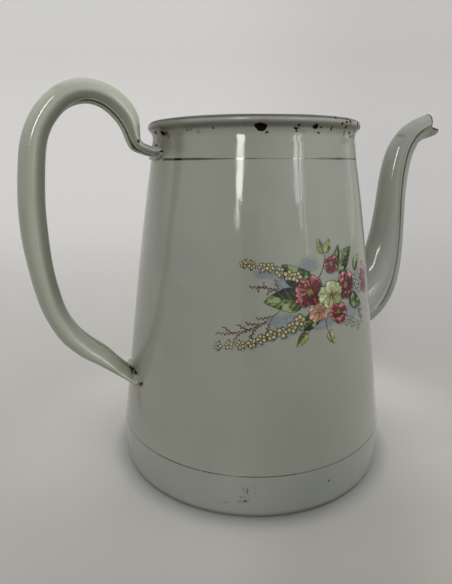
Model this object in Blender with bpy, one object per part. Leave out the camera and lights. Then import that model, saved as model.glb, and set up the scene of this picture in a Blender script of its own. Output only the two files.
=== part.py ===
"""Enamelled sheet-steel coffee pot, open at the top.

Metres, +Z up. The origin is the centre of the flat bottom. The spout points along +X and the
handle along -X, and the pot is symmetrical about the XZ plane.
"""
import math

import bmesh
import bpy

MM = 0.001

SHEET = 1.2 * MM                # steel with both coats of enamel
GAP = 0.3 * MM                  # between pieces that touch
ROUND_FACETS = 56               # facets round the pot's axis
OVERRUN = 4.0 * MM              # how far a root runs into the wall before it is cut back

BAND_HEIGHT = 24.7 * MM         # base band, up to the lower line
BAND_FLARE = 0.15 * MM          # how far the band's foot stands out past the wall
BAND_BELLY = 0.45 * MM          # how far the band swells at mid height
BASE_FILLET = 1.6 * MM
LAP = 6.0 * MM                  # collar of the base pan inside the wall

WAIST_RADIUS = 81.75 * MM       # outside of the wall at the lower line
NECK_HEIGHT = 180.0 * MM        # upper line
WALL_TAPER = 22.7 * MM          # how far the wall draws in from the lower line to the upper one
SHOULDER_SHARE = 0.085          # part of the taper gathered towards the neck
THROAT_STEP = 1.35 * MM         # how far it draws in again up to the bead
THROAT_DROP = 6.4 * MM          # from the bead's centre down to where the bead begins
RIM_RISE = 19.9 * MM            # from the upper line to the top of the rim
BEAD_RADIUS = 2.6 * MM          # of the rolled bead's round section
BEAD_INSET = 1.75 * MM          # from the neck in to the circle that the bead's centre follows
CURL_START = 205                # degrees round the bead, where the wall turns into it
CURL_END = -95                  # and where the rolled edge stops, under the bead

HOLE_RADIUS = 2.4 * MM
HOLE_PITCH = 7.0 * MM
HOLES_IN_ROWS = (2, 3, 2, 3, 2)
HOLE_FACETS = 10

HANDLE_REACH = 70.5 * MM        # from the neck's wall to the outside of the grip
TANG_RISE = 4.2 * MM            # from the upper line to the middle of the handle's upper root
HANDLE_FOOT_HEIGHT = 58.5 * MM  # where the lower foot stands on the wall
TANG_WIDTH = 24.5 * MM          # across the plane of symmetry, at the upper foot
GRIP_WIDTH = 16.5 * MM
TAIL_WIDTH = 31.0 * MM          # at the lower foot
GRIP_SLIT = 2.2 * MM            # open seam on the inner side of the grip
TANG_SLIT = 14.0 * MM           # the seam opens out where the sheet spreads on the wall
TAIL_SLIT = 5.0 * MM
TANG_SPREAD_SHARE = 0.22        # part of the handle's length over which the tang widens
TAIL_SPREAD_SHARE = 0.28
TAIL_LEAN_SHARE = 0.15          # how far the flanks lean to the underside at the tail's end
FOOT_SHEET = 1.3 * MM           # saddle plates between the handle and the wall
UPPER_FOOT_WIDTH = 26.6 * MM
UPPER_FOOT_RISE = 6.6 * MM
UPPER_FOOT_DROP = 1.3 * MM      # from the middle of the tang's root to the middle of its plate
LOWER_FOOT_WIDTH = 36.0 * MM
LOWER_FOOT_RISE = 7.8 * MM
LOWER_FOOT_DROP = 0.7 * MM
SADDLE_POWER = 2.6              # of the plates' rounded outline, 2 for an ellipse
SADDLE_END_SHARE = 0.97         # where the outline is cut off flat, of half its rise

SPOUT_FOOT_HEIGHT = 65.0 * MM   # where the spout's front line leaves the wall
SPOUT_RISE = 29.6 * MM          # from the upper line to the top of the mouth
SPOUT_REACH = 80.0 * MM         # from the neck's wall to the lip
SPOUT_ROOT_WIDTH = 34.0 * MM
SPOUT_MOUTH_WIDTH = 15.0 * MM
SPOUT_FLARE_SHARE = 1.85        # power with which the spout widens towards its root
SEAM_LEAN_SHARE = 0.12          # how far the seam leans to the front line at the root

# Ribs of the handle from the upper foot to the lower one: outer line out and up, then inner line.
# Out is a share of HANDLE_REACH from the neck's wall, up is a share of the rise over the foot.
HANDLE_RIB_SHARES = (
    (0.021, 0.803, 0.032, 0.765),
    (0.064, 0.808, 0.084, 0.774),
    (0.101, 0.821, 0.155, 0.787),
    (0.101, 0.844, 0.194, 0.808),
    (0.104, 0.892, 0.238, 0.855),
    (0.158, 0.937, 0.294, 0.889),
    (0.262, 0.976, 0.367, 0.915),
    (0.389, 0.997, 0.442, 0.926),
    (0.524, 0.999, 0.517, 0.924),
    (0.659, 0.978, 0.592, 0.910),
    (0.779, 0.936, 0.656, 0.883),
    (0.877, 0.876, 0.713, 0.847),
    (0.941, 0.804, 0.754, 0.800),
    (0.975, 0.717, 0.782, 0.720),
    (0.998, 0.614, 0.802, 0.617),
    (0.999, 0.521, 0.803, 0.521),
    (0.982, 0.434, 0.795, 0.430),
    (0.952, 0.343, 0.769, 0.345),
    (0.904, 0.256, 0.723, 0.259),
    (0.812, 0.167, 0.646, 0.195),
    (0.680, 0.100, 0.545, 0.147),
    (0.538, 0.056, 0.443, 0.106),
    (0.404, 0.015, 0.350, 0.056),
    (0.297, -0.018, 0.272, 0.020),
)

# Ribs of the spout from the wall to the mouth: front line out and up, then back line.
# Out is a share of SPOUT_REACH from the neck's wall, up is a share of the rise over the foot.
SPOUT_RIB_SHARES = (
    (0.225, 0.000, 0.168, 0.238),
    (0.362, 0.030, 0.246, 0.278),
    (0.487, 0.072, 0.312, 0.328),
    (0.577, 0.122, 0.352, 0.380),
    (0.639, 0.186, 0.382, 0.428),
    (0.677, 0.270, 0.406, 0.490),
    (0.689, 0.384, 0.427, 0.570),
    (0.682, 0.527, 0.440, 0.648),
    (0.679, 0.642, 0.452, 0.720),
    (0.691, 0.731, 0.474, 0.790),
    (0.716, 0.806, 0.520, 0.862),
    (0.755, 0.855, 0.615, 0.930),
    (0.785, 0.873, 0.733, 0.972),
    (0.820, 0.885, 0.868, 1.000),
)

# Ribs of the pouring lip past the mouth: front line, seam line, and width as a share of the mouth's.
LIP_RIB_SHARES = (
    (0.887, 0.895, 0.887, 0.937, 0.96),
    (0.948, 0.906, 0.938, 0.933, 0.78),
    (0.985, 0.920, 0.980, 0.929, 0.32),
)

BAND_FOOT_RADIUS = WAIST_RADIUS + BAND_FLARE
NECK_RADIUS = WAIST_RADIUS - WALL_TAPER
THROAT_RADIUS = NECK_RADIUS - THROAT_STEP
BEAD_PATH_RADIUS = NECK_RADIUS - BEAD_INSET
RIM_HEIGHT = NECK_HEIGHT + RIM_RISE
TANG_HEIGHT = NECK_HEIGHT + TANG_RISE
TANG_UP_SHARE = (HANDLE_RIB_SHARES[0][1] + HANDLE_RIB_SHARES[0][3]) / 2
HANDLE_TOP = HANDLE_FOOT_HEIGHT + (TANG_HEIGHT - HANDLE_FOOT_HEIGHT) / TANG_UP_SHARE
SPOUT_TOP = NECK_HEIGHT + SPOUT_RISE

ENAMEL_COLOUR = (0.36, 0.38, 0.33, 1.0)
STEEL_COLOUR = (0.25, 0.24, 0.22, 1.0)


def make_material(name, colour, roughness, metallic):
    made = bpy.data.materials.new(name)
    made.use_nodes = True
    shader = made.node_tree.nodes["Principled BSDF"]
    shader.inputs["Base Color"].default_value = colour
    shader.inputs["Roughness"].default_value = roughness
    shader.inputs["Metallic"].default_value = metallic
    return made


def make_object(name, bm, material):
    """Makes a bmesh an object whose faces point outwards, smooth but for its sharp edges."""
    bmesh.ops.remove_doubles(bm, verts=bm.verts, dist=GAP / 30)
    bmesh.ops.recalc_face_normals(bm, faces=bm.faces)
    mesh = bpy.data.meshes.new(name)
    bm.to_mesh(mesh)
    bm.free()
    mesh.shade_smooth()
    mesh.set_sharp_from_angle(angle=math.radians(35))
    piece = bpy.data.objects.new(name, mesh)
    bpy.context.collection.objects.link(piece)
    if material:
        mesh.materials.append(material)
    else:
        piece.hide_render = True
        piece.display_type = "WIRE"
    return piece


def cut(piece, cutter):
    """Takes the cutter's volume out of a piece."""
    boolean = piece.modifiers.new("cut_by_" + cutter.name, "BOOLEAN")
    boolean.operation = "DIFFERENCE"
    boolean.object = cutter


def turn(name, profile, material):
    """Turns a closed profile of (radius, height) points about the pot's axis."""
    bm = bmesh.new()
    corners = [bm.verts.new((radius, 0, height)) for radius, height in profile]
    edges = [bm.edges.new((a, b)) for a, b in zip(corners, corners[1:] + corners[:1])
             if a.co.x or b.co.x]
    bmesh.ops.spin(bm, geom=corners + edges, cent=(0, 0, 0), axis=(0, 0, 1),
                   angle=math.tau, steps=ROUND_FACETS, use_merge=True)
    return make_object(name, bm, material)


def skin(name, rings, material):
    """Joins rings of equally many points with faces, and closes the first and the last ring."""
    bm = bmesh.new()
    rows = [[bm.verts.new(point) for point in ring] for ring in rings]
    count = len(rows[0])
    for near, far in zip(rows, rows[1:]):
        for i in range(count):
            j = (i + 1) % count
            bm.faces.new((near[i], near[j], far[j], far[i]))
    for row in (rows[0], rows[-1]):
        for i in range(count // 2 - 1):
            bm.faces.new((row[i], row[i + 1], row[count - 2 - i], row[count - 1 - i]))
    return make_object(name, bm, material)


def arc(centre, radius, start, end, steps):
    """Points on a circle, from one angle to another in degrees."""
    angles = [math.radians(start + (end - start) * i / steps) for i in range(steps + 1)]
    return [(centre[0] + radius * math.cos(a), centre[1] + radius * math.sin(a)) for a in angles]


def smoothed(rows, steps):
    """Rows of numbers with steps in each span, on a curve that passes through every row."""
    ends = [rows[0]] + list(rows) + [rows[-1]]
    result = []
    for before, start, end, after in zip(ends, ends[1:], ends[2:], ends[3:]):
        for i in range(steps):
            t = i / steps
            result.append([b + t * (c - a) / 2 + t * t * (a - 2.5 * b + 2 * c - d / 2)
                           + t ** 3 * (1.5 * (b - c) + (d - a) / 2)
                           for a, b, c, d in zip(before, start, end, after)])
    result.append(list(rows[-1]))
    return result


def bead_centre():
    return BEAD_PATH_RADIUS, RIM_HEIGHT - BEAD_RADIUS


def throat_height():
    return RIM_HEIGHT - BEAD_RADIUS - THROAT_DROP


def wall_radius(height):
    """Outside of the wall: nearly straight, drawn in faster near the neck, then the throat."""
    if height > NECK_HEIGHT:
        share = (height - NECK_HEIGHT) / (throat_height() - NECK_HEIGHT)
        return NECK_RADIUS + (THROAT_RADIUS - NECK_RADIUS) * share
    share = (height - BAND_HEIGHT) / (NECK_HEIGHT - BAND_HEIGHT)
    gathered = (1 - SHOULDER_SHARE) * share + SHOULDER_SHARE * share ** 4
    return WAIST_RADIUS - (WAIST_RADIUS - NECK_RADIUS) * gathered


def wall_line(offset, low, steps=6):
    """The wall's outside, moved outwards by offset, from a low height up to the throat."""
    heights = [low + (NECK_HEIGHT - low) * i / steps for i in range(steps + 1)]
    return [(wall_radius(height) + offset, height) for height in heights + [throat_height()]]


def band_line(offset, top, steps=4):
    """The base band's outside, moved outwards by offset, from its fillet up to a top height."""
    points = []
    for i in range(steps + 1):
        height = BASE_FILLET + (top - BASE_FILLET) * i / steps
        share = (height - BASE_FILLET) / (BAND_HEIGHT - BASE_FILLET)
        straight = BAND_FOOT_RADIUS + (WAIST_RADIUS - BAND_FOOT_RADIUS) * share
        points.append((straight + 4 * BAND_BELLY * share * (1 - share) + offset, height))
    return points


def make_base_pan(material):
    """Pressed pan: flat bottom, upright band, and a collar that laps inside the wall."""
    flat_radius = BAND_FOOT_RADIUS - BASE_FILLET
    shoulder = BAND_HEIGHT - GAP / 2
    collar_top = BAND_HEIGHT + LAP
    outset = -SHEET - GAP
    profile = [(0, 0)]
    profile += arc((flat_radius, BASE_FILLET), BASE_FILLET, -90, 0, 3)[:-1]
    profile += band_line(0, shoulder)
    profile += [(wall_radius(shoulder) + outset, shoulder),
                (wall_radius(collar_top) + outset, collar_top),
                (wall_radius(collar_top) + outset - SHEET, collar_top),
                (wall_radius(shoulder) + outset - SHEET, shoulder - SHEET)]
    profile += reversed(band_line(-SHEET, shoulder - SHEET))
    profile += [(flat_radius - SHEET / 2, SHEET), (0, SHEET)]
    return turn("base_pan", profile, material)


def make_body_shell(material):
    """Conical wall, its top edge rolled outwards into a bead, with holes behind the spout."""
    low = BAND_HEIGHT + GAP / 2
    profile = wall_line(0, low)
    profile += arc(bead_centre(), BEAD_RADIUS - SHEET, CURL_START, CURL_END, 9)
    profile += arc(bead_centre(), BEAD_RADIUS, CURL_END, CURL_START, 12)
    profile += reversed(wall_line(-SHEET, low))
    shell = turn("body_shell", profile, material)
    cut(shell, make_strainer_punches())
    return shell


def make_rim_wire(material):
    """Steel wire that the rim is rolled round."""
    profile = arc(bead_centre(), BEAD_RADIUS - SHEET - GAP, 0, 315, 7)
    return turn("rim_wire", profile, material)


def make_strainer_punches():
    """Round punches along +X, in rows over the middle of the spout's root."""
    rows = len(HOLES_IN_ROWS)
    pitch_up = HOLE_PITCH * math.sin(math.radians(60))
    middle = (rib_point(SPOUT_RIB_SHARES[0][:2], *spout_spans())[1]
              + rib_point(SPOUT_RIB_SHARES[0][2:], *spout_spans())[1]) / 2
    bm = bmesh.new()
    for row, count in enumerate(HOLES_IN_ROWS):
        height = middle + (row - (rows - 1) / 2) * pitch_up
        for i in range(count):
            across = (i - (count - 1) / 2) * HOLE_PITCH
            circle = arc((across, height), HOLE_RADIUS, 0, 360, HOLE_FACETS)[:-1]
            disc = bm.faces.new([bm.verts.new((NECK_RADIUS / 2, y, z)) for y, z in circle])
            grown = bmesh.ops.extrude_face_region(bm, geom=[disc])["geom"]
            far = [v for v in grown if isinstance(v, bmesh.types.BMVert)]
            bmesh.ops.translate(bm, verts=far, vec=(WAIST_RADIUS, 0, 0))
            bmesh.ops.reverse_faces(bm, faces=[disc])
    return make_object("strainer_punches", bm, None)


def make_wall_envelope(name, clearance):
    """Everything inside the wall's outside and a clearance, which cuts back what stands on it."""
    profile = [(0, BAND_HEIGHT)] + wall_line(clearance, BAND_HEIGHT) + [(0, throat_height())]
    return turn(name, profile, None)


def rib_point(shares, reach, low, high):
    """Place in the plane of symmetry of a pair of shares: (distance from the axis, height)."""
    out, up = shares
    return NECK_RADIUS + reach * out, low + (high - low) * up


def spout_spans():
    return SPOUT_REACH, SPOUT_FOOT_HEIGHT, SPOUT_TOP


def handle_spans():
    return HANDLE_REACH, HANDLE_FOOT_HEIGHT, HANDLE_TOP


def section(centre, crest, heel, half_width, start, end, steps, side):
    """Arc of an oval from one angle to another: crest at 0 degrees, flanks at 90, heel at 180."""
    points = []
    for i in range(steps + 1):
        angle = math.radians(start + (end - start) * i / steps)
        peak = crest if math.cos(angle) > 0 else heel
        share = abs(math.cos(angle))
        out, up = between(centre, peak, share)
        points.append((side * out, half_width * math.sin(angle), up))
    return points


def sheet_section(centre, crest, heel, half_width, spread, steps, side):
    """Sheet bent over a crest, from -spread to +spread degrees, as one closed ring."""
    crest_inside = towards(crest, centre, SHEET)
    heel_inside = towards(heel, centre, SHEET)
    outside = section(centre, crest, heel, half_width, -spread, spread, steps, side)
    inside = section(centre, crest_inside, heel_inside, half_width - SHEET,
                     spread, -spread, steps, side)
    return outside + inside


def between(a, b, share):
    return [p + (q - p) * share for p, q in zip(a, b)]


def towards(a, b, distance):
    """The point a given distance from a on the way to b."""
    length = math.dist(a, b)
    return [p + (q - p) * distance / length for p, q in zip(a, b)]


def into_wall(point, depth):
    """The point moved level towards the axis, to a depth under the wall's outside."""
    return min(point[0], wall_radius(point[1])) - depth, point[1]


def spout_ribs():
    """Front, seam and back points of each rib with its half width, from inside the wall out."""
    ribs = []
    shares = smoothed(SPOUT_RIB_SHARES, 2)
    for i, row in enumerate(shares):
        front = rib_point(row[:2], *spout_spans())
        back = rib_point(row[2:], *spout_spans())
        left = (1 - i / (len(shares) - 1)) ** SPOUT_FLARE_SHARE
        width = SPOUT_MOUTH_WIDTH + (SPOUT_ROOT_WIDTH - SPOUT_MOUTH_WIDTH) * left
        seam = between(front, back, 0.5 - SEAM_LEAN_SHARE * left)
        ribs.append((front, seam, back, width / 2))
    *points, half_width = ribs[0]
    return [(*[into_wall(point, 3 * OVERRUN) for point in points], half_width)] + ribs


def make_spout_half(name, front, material):
    """One pressed half of the spout, open towards the seam on its flanks."""
    rings = []
    for front_point, seam, back_point, half_width in spout_ribs():
        crest = front_point if front else back_point
        rings.append((seam, crest, half_width))
    if front:
        for row in LIP_RIB_SHARES:
            seam = rib_point(row[2:4], *spout_spans())
            crest = rib_point(row[:2], *spout_spans())
            rings.append((seam, crest, row[4] * SPOUT_MOUTH_WIDTH / 2))
    strips = []
    for seam, crest, half_width in rings:
        spread = 90 - math.degrees(math.asin(GAP / 2 / math.dist(seam, crest)))
        strips.append(sheet_section(seam, crest, crest, half_width, spread, 8, 1))
    return skin(name, strips, material)


def handle_ribs():
    """Outer, flank and inner points of each rib, its half width and its slit's half width."""
    ribs = []
    shares = smoothed(HANDLE_RIB_SHARES, 2)
    for i, row in enumerate(shares):
        along = i / (len(shares) - 1)
        tang = max(0, 1 - along / TANG_SPREAD_SHARE) ** 2
        tail = max(0, 1 - (1 - along) / TAIL_SPREAD_SHARE) ** 2
        grip = 1 - tang - tail
        outer = rib_point(row[:2], *handle_spans())
        inner = rib_point(row[2:], *handle_spans())
        flank = between(outer, inner, 0.5 - TAIL_LEAN_SHARE * tail)
        width = TANG_WIDTH * tang + GRIP_WIDTH * grip + TAIL_WIDTH * tail
        slit = TANG_SLIT * tang + GRIP_SLIT * grip + TAIL_SLIT * tail
        ribs.append((outer, flank, inner, width / 2, slit / 2))
    tang_root, tail_root = [
        (*[into_wall(point, OVERRUN) for point in rib[:3]], *rib[3:]) for rib in (ribs[0], ribs[-1])]
    return [tang_root] + ribs + [tail_root]


def make_handle_tube(material):
    """Tube rolled from sheet, its open seam on the inner side, spread at both ends."""
    rings = []
    for outer, flank, inner, half_width, half_slit in handle_ribs():
        spread = 180 - math.degrees(math.asin(half_slit / half_width))
        rings.append(sheet_section(flank, outer, inner, half_width, spread, 14, -1))
    return skin("handle_tube", rings, material)


def make_saddle(name, height, width, rise, material):
    """Plate with rounded ends, pressed to the wall's curve on the handle's side."""
    rings = []
    for level in (-90, -65, -40, -15, 15, 40, 65, 90):
        up = SADDLE_END_SHARE * math.sin(math.radians(level))
        reach = (1 - abs(up) ** SADDLE_POWER) ** (1 / SADDLE_POWER)
        ring = []
        for offset, inset, turn_back in ((GAP + FOOT_SHEET, FOOT_SHEET / 2, 1), (GAP, 0, -1)):
            z = height + up * (rise / 2 - inset)
            for i in range(9):
                y = turn_back * (width / 2 - inset) * reach * (i / 4 - 1)
                ring.append((-math.sqrt((wall_radius(z) + offset) ** 2 - y ** 2), y, z))
        rings.append(ring)
    return skin(name, rings, material)


def build():
    for leftover in list(bpy.data.objects):
        bpy.data.objects.remove(leftover)
    enamel = make_material("enamel", ENAMEL_COLOUR, 0.2, 0.0)
    steel = make_material("bare_steel", STEEL_COLOUR, 0.5, 1.0)
    make_base_pan(enamel)
    make_body_shell(enamel)
    make_rim_wire(steel)
    envelope = make_wall_envelope("wall_envelope", GAP)
    for name, front in (("spout_front_half", True), ("spout_back_half", False)):
        cut(make_spout_half(name, front, enamel), envelope)
    cut(make_handle_tube(enamel), make_wall_envelope("foot_envelope", 2 * GAP + FOOT_SHEET))
    make_saddle("handle_upper_foot", TANG_HEIGHT - UPPER_FOOT_DROP,
                UPPER_FOOT_WIDTH, UPPER_FOOT_RISE, enamel)
    make_saddle("handle_lower_foot", HANDLE_FOOT_HEIGHT - LOWER_FOOT_DROP,
                LOWER_FOOT_WIDTH, LOWER_FOOT_RISE, enamel)


build()
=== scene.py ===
"""Worn enamel coffee pot: the finish of its surfaces, the light and the camera.

Metres, +Z up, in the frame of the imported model. Azimuths are degrees round the pot's axis, from +X,
where the spout points, towards +Y. The handle is at 180 and the camera at -115.
"""
from functools import partialmethod

import bpy
import numpy as np
from mathutils import Matrix, Vector


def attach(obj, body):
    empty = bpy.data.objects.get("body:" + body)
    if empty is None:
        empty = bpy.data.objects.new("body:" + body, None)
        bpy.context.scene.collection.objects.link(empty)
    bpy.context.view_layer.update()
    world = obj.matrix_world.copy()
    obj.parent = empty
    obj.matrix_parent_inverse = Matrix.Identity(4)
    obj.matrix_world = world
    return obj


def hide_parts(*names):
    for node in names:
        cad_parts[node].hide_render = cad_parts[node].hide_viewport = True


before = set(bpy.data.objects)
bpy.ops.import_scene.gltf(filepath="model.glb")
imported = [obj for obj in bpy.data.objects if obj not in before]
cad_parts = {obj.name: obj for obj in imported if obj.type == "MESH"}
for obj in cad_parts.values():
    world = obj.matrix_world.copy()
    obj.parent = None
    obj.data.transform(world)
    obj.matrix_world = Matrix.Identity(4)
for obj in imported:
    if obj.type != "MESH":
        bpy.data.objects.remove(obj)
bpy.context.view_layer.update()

# The camera: a telephone's wide lens held level with the pot's neck, under 30 cm from its axis, and
# tilted down a little. Its picture is 452 by 584 pixels.
MM = 0.001
DEGREE = np.pi / 180
CAMERA_AZIMUTH = -115  # this and the next two are in degrees
CAMERA_PITCH = 15.28  # downwards
CAMERA_YAW = -3.21  # to the right of the axis
CAMERA_ROLL = -0.19 * DEGREE
CAMERA_DISTANCE = 283.5 * MM
CAMERA_HEIGHT = 176.9 * MM
FOCAL_PIXELS = 463
PICTURE_HEIGHT = 584
SENSOR_HEIGHT = 36.0  # the one length that Blender takes in millimetres


def towards(azimuth, elevation=0):
    """Unit vector at an azimuth and an elevation in degrees."""
    a, e = azimuth * DEGREE, elevation * DEGREE
    return np.array((np.cos(a) * np.cos(e), np.sin(a) * np.cos(e), np.sin(e)))


heading = CAMERA_AZIMUTH + 180 - CAMERA_YAW
forward, level = Vector(towards(heading, -CAMERA_PITCH)), Vector(towards(heading - 90))
right = (level * np.cos(CAMERA_ROLL) + level.cross(forward) * np.sin(CAMERA_ROLL)).normalized()
above = right.cross(forward)
eye = Vector(towards(CAMERA_AZIMUTH) * CAMERA_DISTANCE + (0, 0, CAMERA_HEIGHT))
lens = bpy.data.cameras.new("camera")
lens.sensor_width = SENSOR_HEIGHT
lens.lens = SENSOR_HEIGHT * FOCAL_PIXELS / PICTURE_HEIGHT
lens.clip_start = 10 * MM
camera = bpy.data.objects.new("camera", lens)
camera.matrix_world = Matrix((right, above, -forward)).transposed().to_4x4()
camera.location = eye
bpy.context.scene.collection.objects.link(camera)
bpy.context.scene.camera = camera


# The wall: sheet steel rolled into a cone and welded, its top edge rolled outwards round a wire. Enamel
# fills the groove under the bead, where most of the chips are. It is punched as a strainer by the spout.
SHEET = 1.2 * MM
LINE_HEIGHTS = (24.7 * MM, 180 * MM)  # of the gilt lines, which mark the wall's foot and its neck
GROOVE_HEIGHT = 187 * MM  # of the filled groove's lower end
WAIST_RADIUS = 81.75 * MM
NECK_RADIUS = 59.05 * MM
SHOULDER_SHARE = 0.085  # part of the taper gathered towards the neck
THROAT_RADIUS = 57.7 * MM
THROAT_HEIGHT = 190.9 * MM
BEAD_CENTRE = (57.3 * MM, 197.3 * MM)
BEAD_RADIUS = 2.6 * MM
BEAD_START = -44  # degrees round the bead, where the filled groove meets it
BEAD_END = 205
RIM_DIP = 0.22 * MM  # of the rolled rim's unevenness
WALL_COLUMNS = 640
EDGE_LOOP = 0.15 * MM  # from a sharp edge to the next row of the mesh
FRONT_AZIMUTH = -95 * DEGREE  # the middle of the side with the finest mesh
FRONT_GAIN, FRONT_SPREAD = 2.4, 0.95  # how much finer than behind, over how many radians either way
BEAD_OUTER_ROWS = 20  # rows of the bead's mesh that can be chipped
CHIP_DEPTH = 0.35 * MM
UNCHIPPED = 9.0  # mm to the nearest chip, where there is none
RIM_CHIPS = (  # azimuth, height, half width, half height
    (-111.4, 194.0, 2.75, 1.8), (-108.6, 191.7, 0.6, 0.35), (-93.7, 194.9, 0.65, 0.5),
    (-94.8, 193.5, 0.95, 0.5), (-94.4, 192.3, 0.45, 0.4), (-84.7, 194.5, 1.5, 1.1),
    (-81.4, 194.3, 0.7, 0.32), (-82.0, 191.8, 0.6, 0.4), (-74.2, 193.9, 0.5, 1.0),
    (-73.1, 198.9, 0.9, 0.4), (-68.1, 196.5, 0.7, 0.6), (-64.5, 197.4, 0.9, 0.5),
    (-63.2, 195.2, 0.9, 0.6), (-60.7, 197.8, 1.0, 0.5), (-62.3, 192.5, 0.35, 1.5),
    (-56.0, 192.9, 1.1, 0.6), (-53.6, 191.1, 0.8, 0.6), (-49.5, 197.5, 1.1, 1.4),
    (-47.0, 191.3, 0.9, 1.2), (-168.2, 193.1, 2.0, 1.1), (-164.4, 192.9, 0.6, 0.9),
    (-166.0, 192.0, 0.6, 0.4), (-163.2, 191.0, 0.4, 0.9), (-178.0, 193.8, 1.6, 0.8),
    (-177.6, 187.1, 2.6, 0.9), (-166.5, 183.2, 0.25, 1.3), (-148.2, 193.4, 0.55, 0.3),
    (-145.9, 193.6, 0.35, 0.25), (-133.6, 193.8, 0.55, 0.3), (-62.9, 199.2, 0.8, 0.6),
    (22.0, 195.0, 1.6, 0.9), (64.0, 198.3, 0.9, 1.2), (101.0, 194.4, 1.1, 0.7), (139.0, 195.3, 2.0, 1.0),
)
WALL_SOILS = (  # brown stains: azimuth, height, half width, half height, strength
    (-173.0, 190.5, 9.0, 6.5, 1.1), (-167.6, 192.6, 3.2, 2.4, 1.2), (-163.4, 191.6, 1.8, 2.4, 1.3),
    (-141.7, 192.5, 0.9, 1.0, 1.0), (-110.5, 196.5, 3.4, 0.9, 0.6), (-108.8, 191.6, 1.4, 0.9, 0.5),
    (-90.6, 192.5, 0.9, 0.6, 0.7), (-62.0, 196.0, 8.0, 3.5, 0.5), (-45.0, 197.0, 3.0, 2.5, 0.7),
    (-168.6, 49.0, 1.7, 6.0, 0.8), (-172.5, 52.0, 0.9, 4.0, 0.5), (-93.0, 193.6, 2.6, 1.8, 0.4),
    (-123.1, 46.7, 0.9, 0.9, 0.3), (175.0, 189.0, 9.0, 6.5, 1.2),
)


def wall_radius(height):
    """Outside of the wall: waist less the taper, of which a small share goes with the height's
    fourth power, and a straight neck from the upper line up."""
    low, high = LINE_HEIGHTS
    share = (height - low) / (high - low)
    cone = WAIST_RADIUS - (WAIST_RADIUS - NECK_RADIUS) * (
        (1 - SHOULDER_SHARE) * share + SHOULDER_SHARE * share ** 4)
    neck = NECK_RADIUS + (THROAT_RADIUS - NECK_RADIUS) * (height - high) / (THROAT_HEIGHT - high)
    return np.where(height > high, neck, cone)


def pairs(radii, heights):
    """Points (radius, height)."""
    return np.stack(np.broadcast_arrays(radii, heights), axis=-1)


def arc(centre, radius, start, end, count):
    """Points (radius, height) round a circle from one angle to another, in degrees."""
    angle = np.linspace(start, end, count) * DEGREE
    return pairs(centre[0] + radius * np.cos(angle), centre[1] + radius * np.sin(angle))


def bend(start, start_way, end, end_way, count):
    """Cubic from one point to another, with a given way times a length at each end."""
    t = np.linspace(0, 1, count)[:, None]
    start, start_way, end, end_way = map(np.asarray, (start, start_way, end, end_way))
    return ((2 * t ** 3 - 3 * t ** 2 + 1) * start + (t ** 3 - 2 * t ** 2 + t) * start_way
            + (3 * t ** 2 - 2 * t ** 3) * end + (t ** 3 - t ** 2) * end_way)


def turned(profile, azimuths):
    """Grid of a (radius, height) profile turned about the axis: x = r cos a, y = r sin a, z = h."""
    radius, height = np.asarray(profile).T
    return np.stack([np.outer(radius, np.cos(azimuths)), np.outer(radius, np.sin(azimuths)),
                     np.outer(height, np.ones(len(azimuths)))], axis=-1)


def new_piece(name, points, faces, smooth=True):
    """Object in the scene made of points and faces."""
    mesh = bpy.data.meshes.new(name)
    mesh.from_pydata(points, [], faces)
    if smooth:
        mesh.shade_smooth()
    piece = bpy.data.objects.new(name, mesh)
    bpy.context.scene.collection.objects.link(piece)
    return piece


def cells(grid):
    """The four corners of every cell of a grid, in turn."""
    return np.stack([grid[:-1, :-1], grid[:-1, 1:], grid[1:, 1:], grid[1:, :-1]], axis=-1)


def lay(name, grid, columns_join=True, rows_join=False, ends=False):
    """Mesh of a grid of points, its last column joined to the first, its last row to the first, or
    its first and last rows each drawn together in their middle. A closed one is turned outwards."""
    rows, columns = grid.shape[:2]
    points = grid.reshape(-1, 3)
    index = np.arange(rows * columns).reshape(rows, columns)
    faces = cells(np.pad(index, ((0, rows_join), (0, columns_join)), mode="wrap")).reshape(-1, 4)
    if columns_join:
        a, b, c, d = [points[faces[:, i]] for i in range(4)]
        if np.einsum("ij,ij->", np.cross(c - a, d - b), a + b + c + d) < 0:
            faces = faces[:, ::-1]
    faces = faces.tolist()
    if ends:
        turned_round = faces[0][0] > faces[0][1]
        for row, last in ((index[0], False), (index[-1], True)):
            fan = np.stack([row, np.roll(row, -1), np.full(columns, len(points))], axis=-1)
            faces += (fan if last != turned_round else fan[:, ::-1]).tolist()
            points = np.concatenate([points, points[row].mean(axis=0)[None]])
    return new_piece(name, points.tolist(), faces)


def vertices(piece):
    """x, y and z of a piece's vertices, as three arrays."""
    flat = np.empty(3 * len(piece.data.vertices))
    piece.data.vertices.foreach_get("co", flat)
    return flat.reshape(-1, 3).T


def step(value, start, end):
    """Smoothly from 0 to 1 while the value goes from start to end."""
    t = np.clip((value - start) / (end - start), 0, 1)
    return t * t * (3 - 2 * t)


def chip_edge(across, up, chips):
    """Distance in mm to the edge of the nearest chip, less than 0 in it, over a surface laid flat.
    A chip is an oval, (across, up, half width, half height) in mm, whose reach wavers round it."""
    nearest = np.full(np.shape(across), UNCHIPPED)
    for i, (middle, height, wide, high) in enumerate(chips):
        right, over = (across / MM - middle) / wide, (up / MM - height) / high
        angle = np.arctan2(over, right)
        reach = 1 + 0.08 * np.sin(3 * angle + 2.1 * i) + 0.05 * np.sin(5 * angle + i)
        nearest = np.minimum(nearest, (np.hypot(right, over) - reach) * min(wide, high))
    return nearest


def soiling(across, up, soils):
    """Strength of the brown stains: the greatest of bells, strength · exp(-1.3 d²)."""
    strength = np.zeros(np.shape(across))
    for middle, height, wide, high, most in soils:
        off = ((across / MM - middle) / wide) ** 2 + ((up / MM - height) / high) ** 2
        strength = np.maximum(strength, most * np.exp(-1.3 * off))
    return strength


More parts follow.
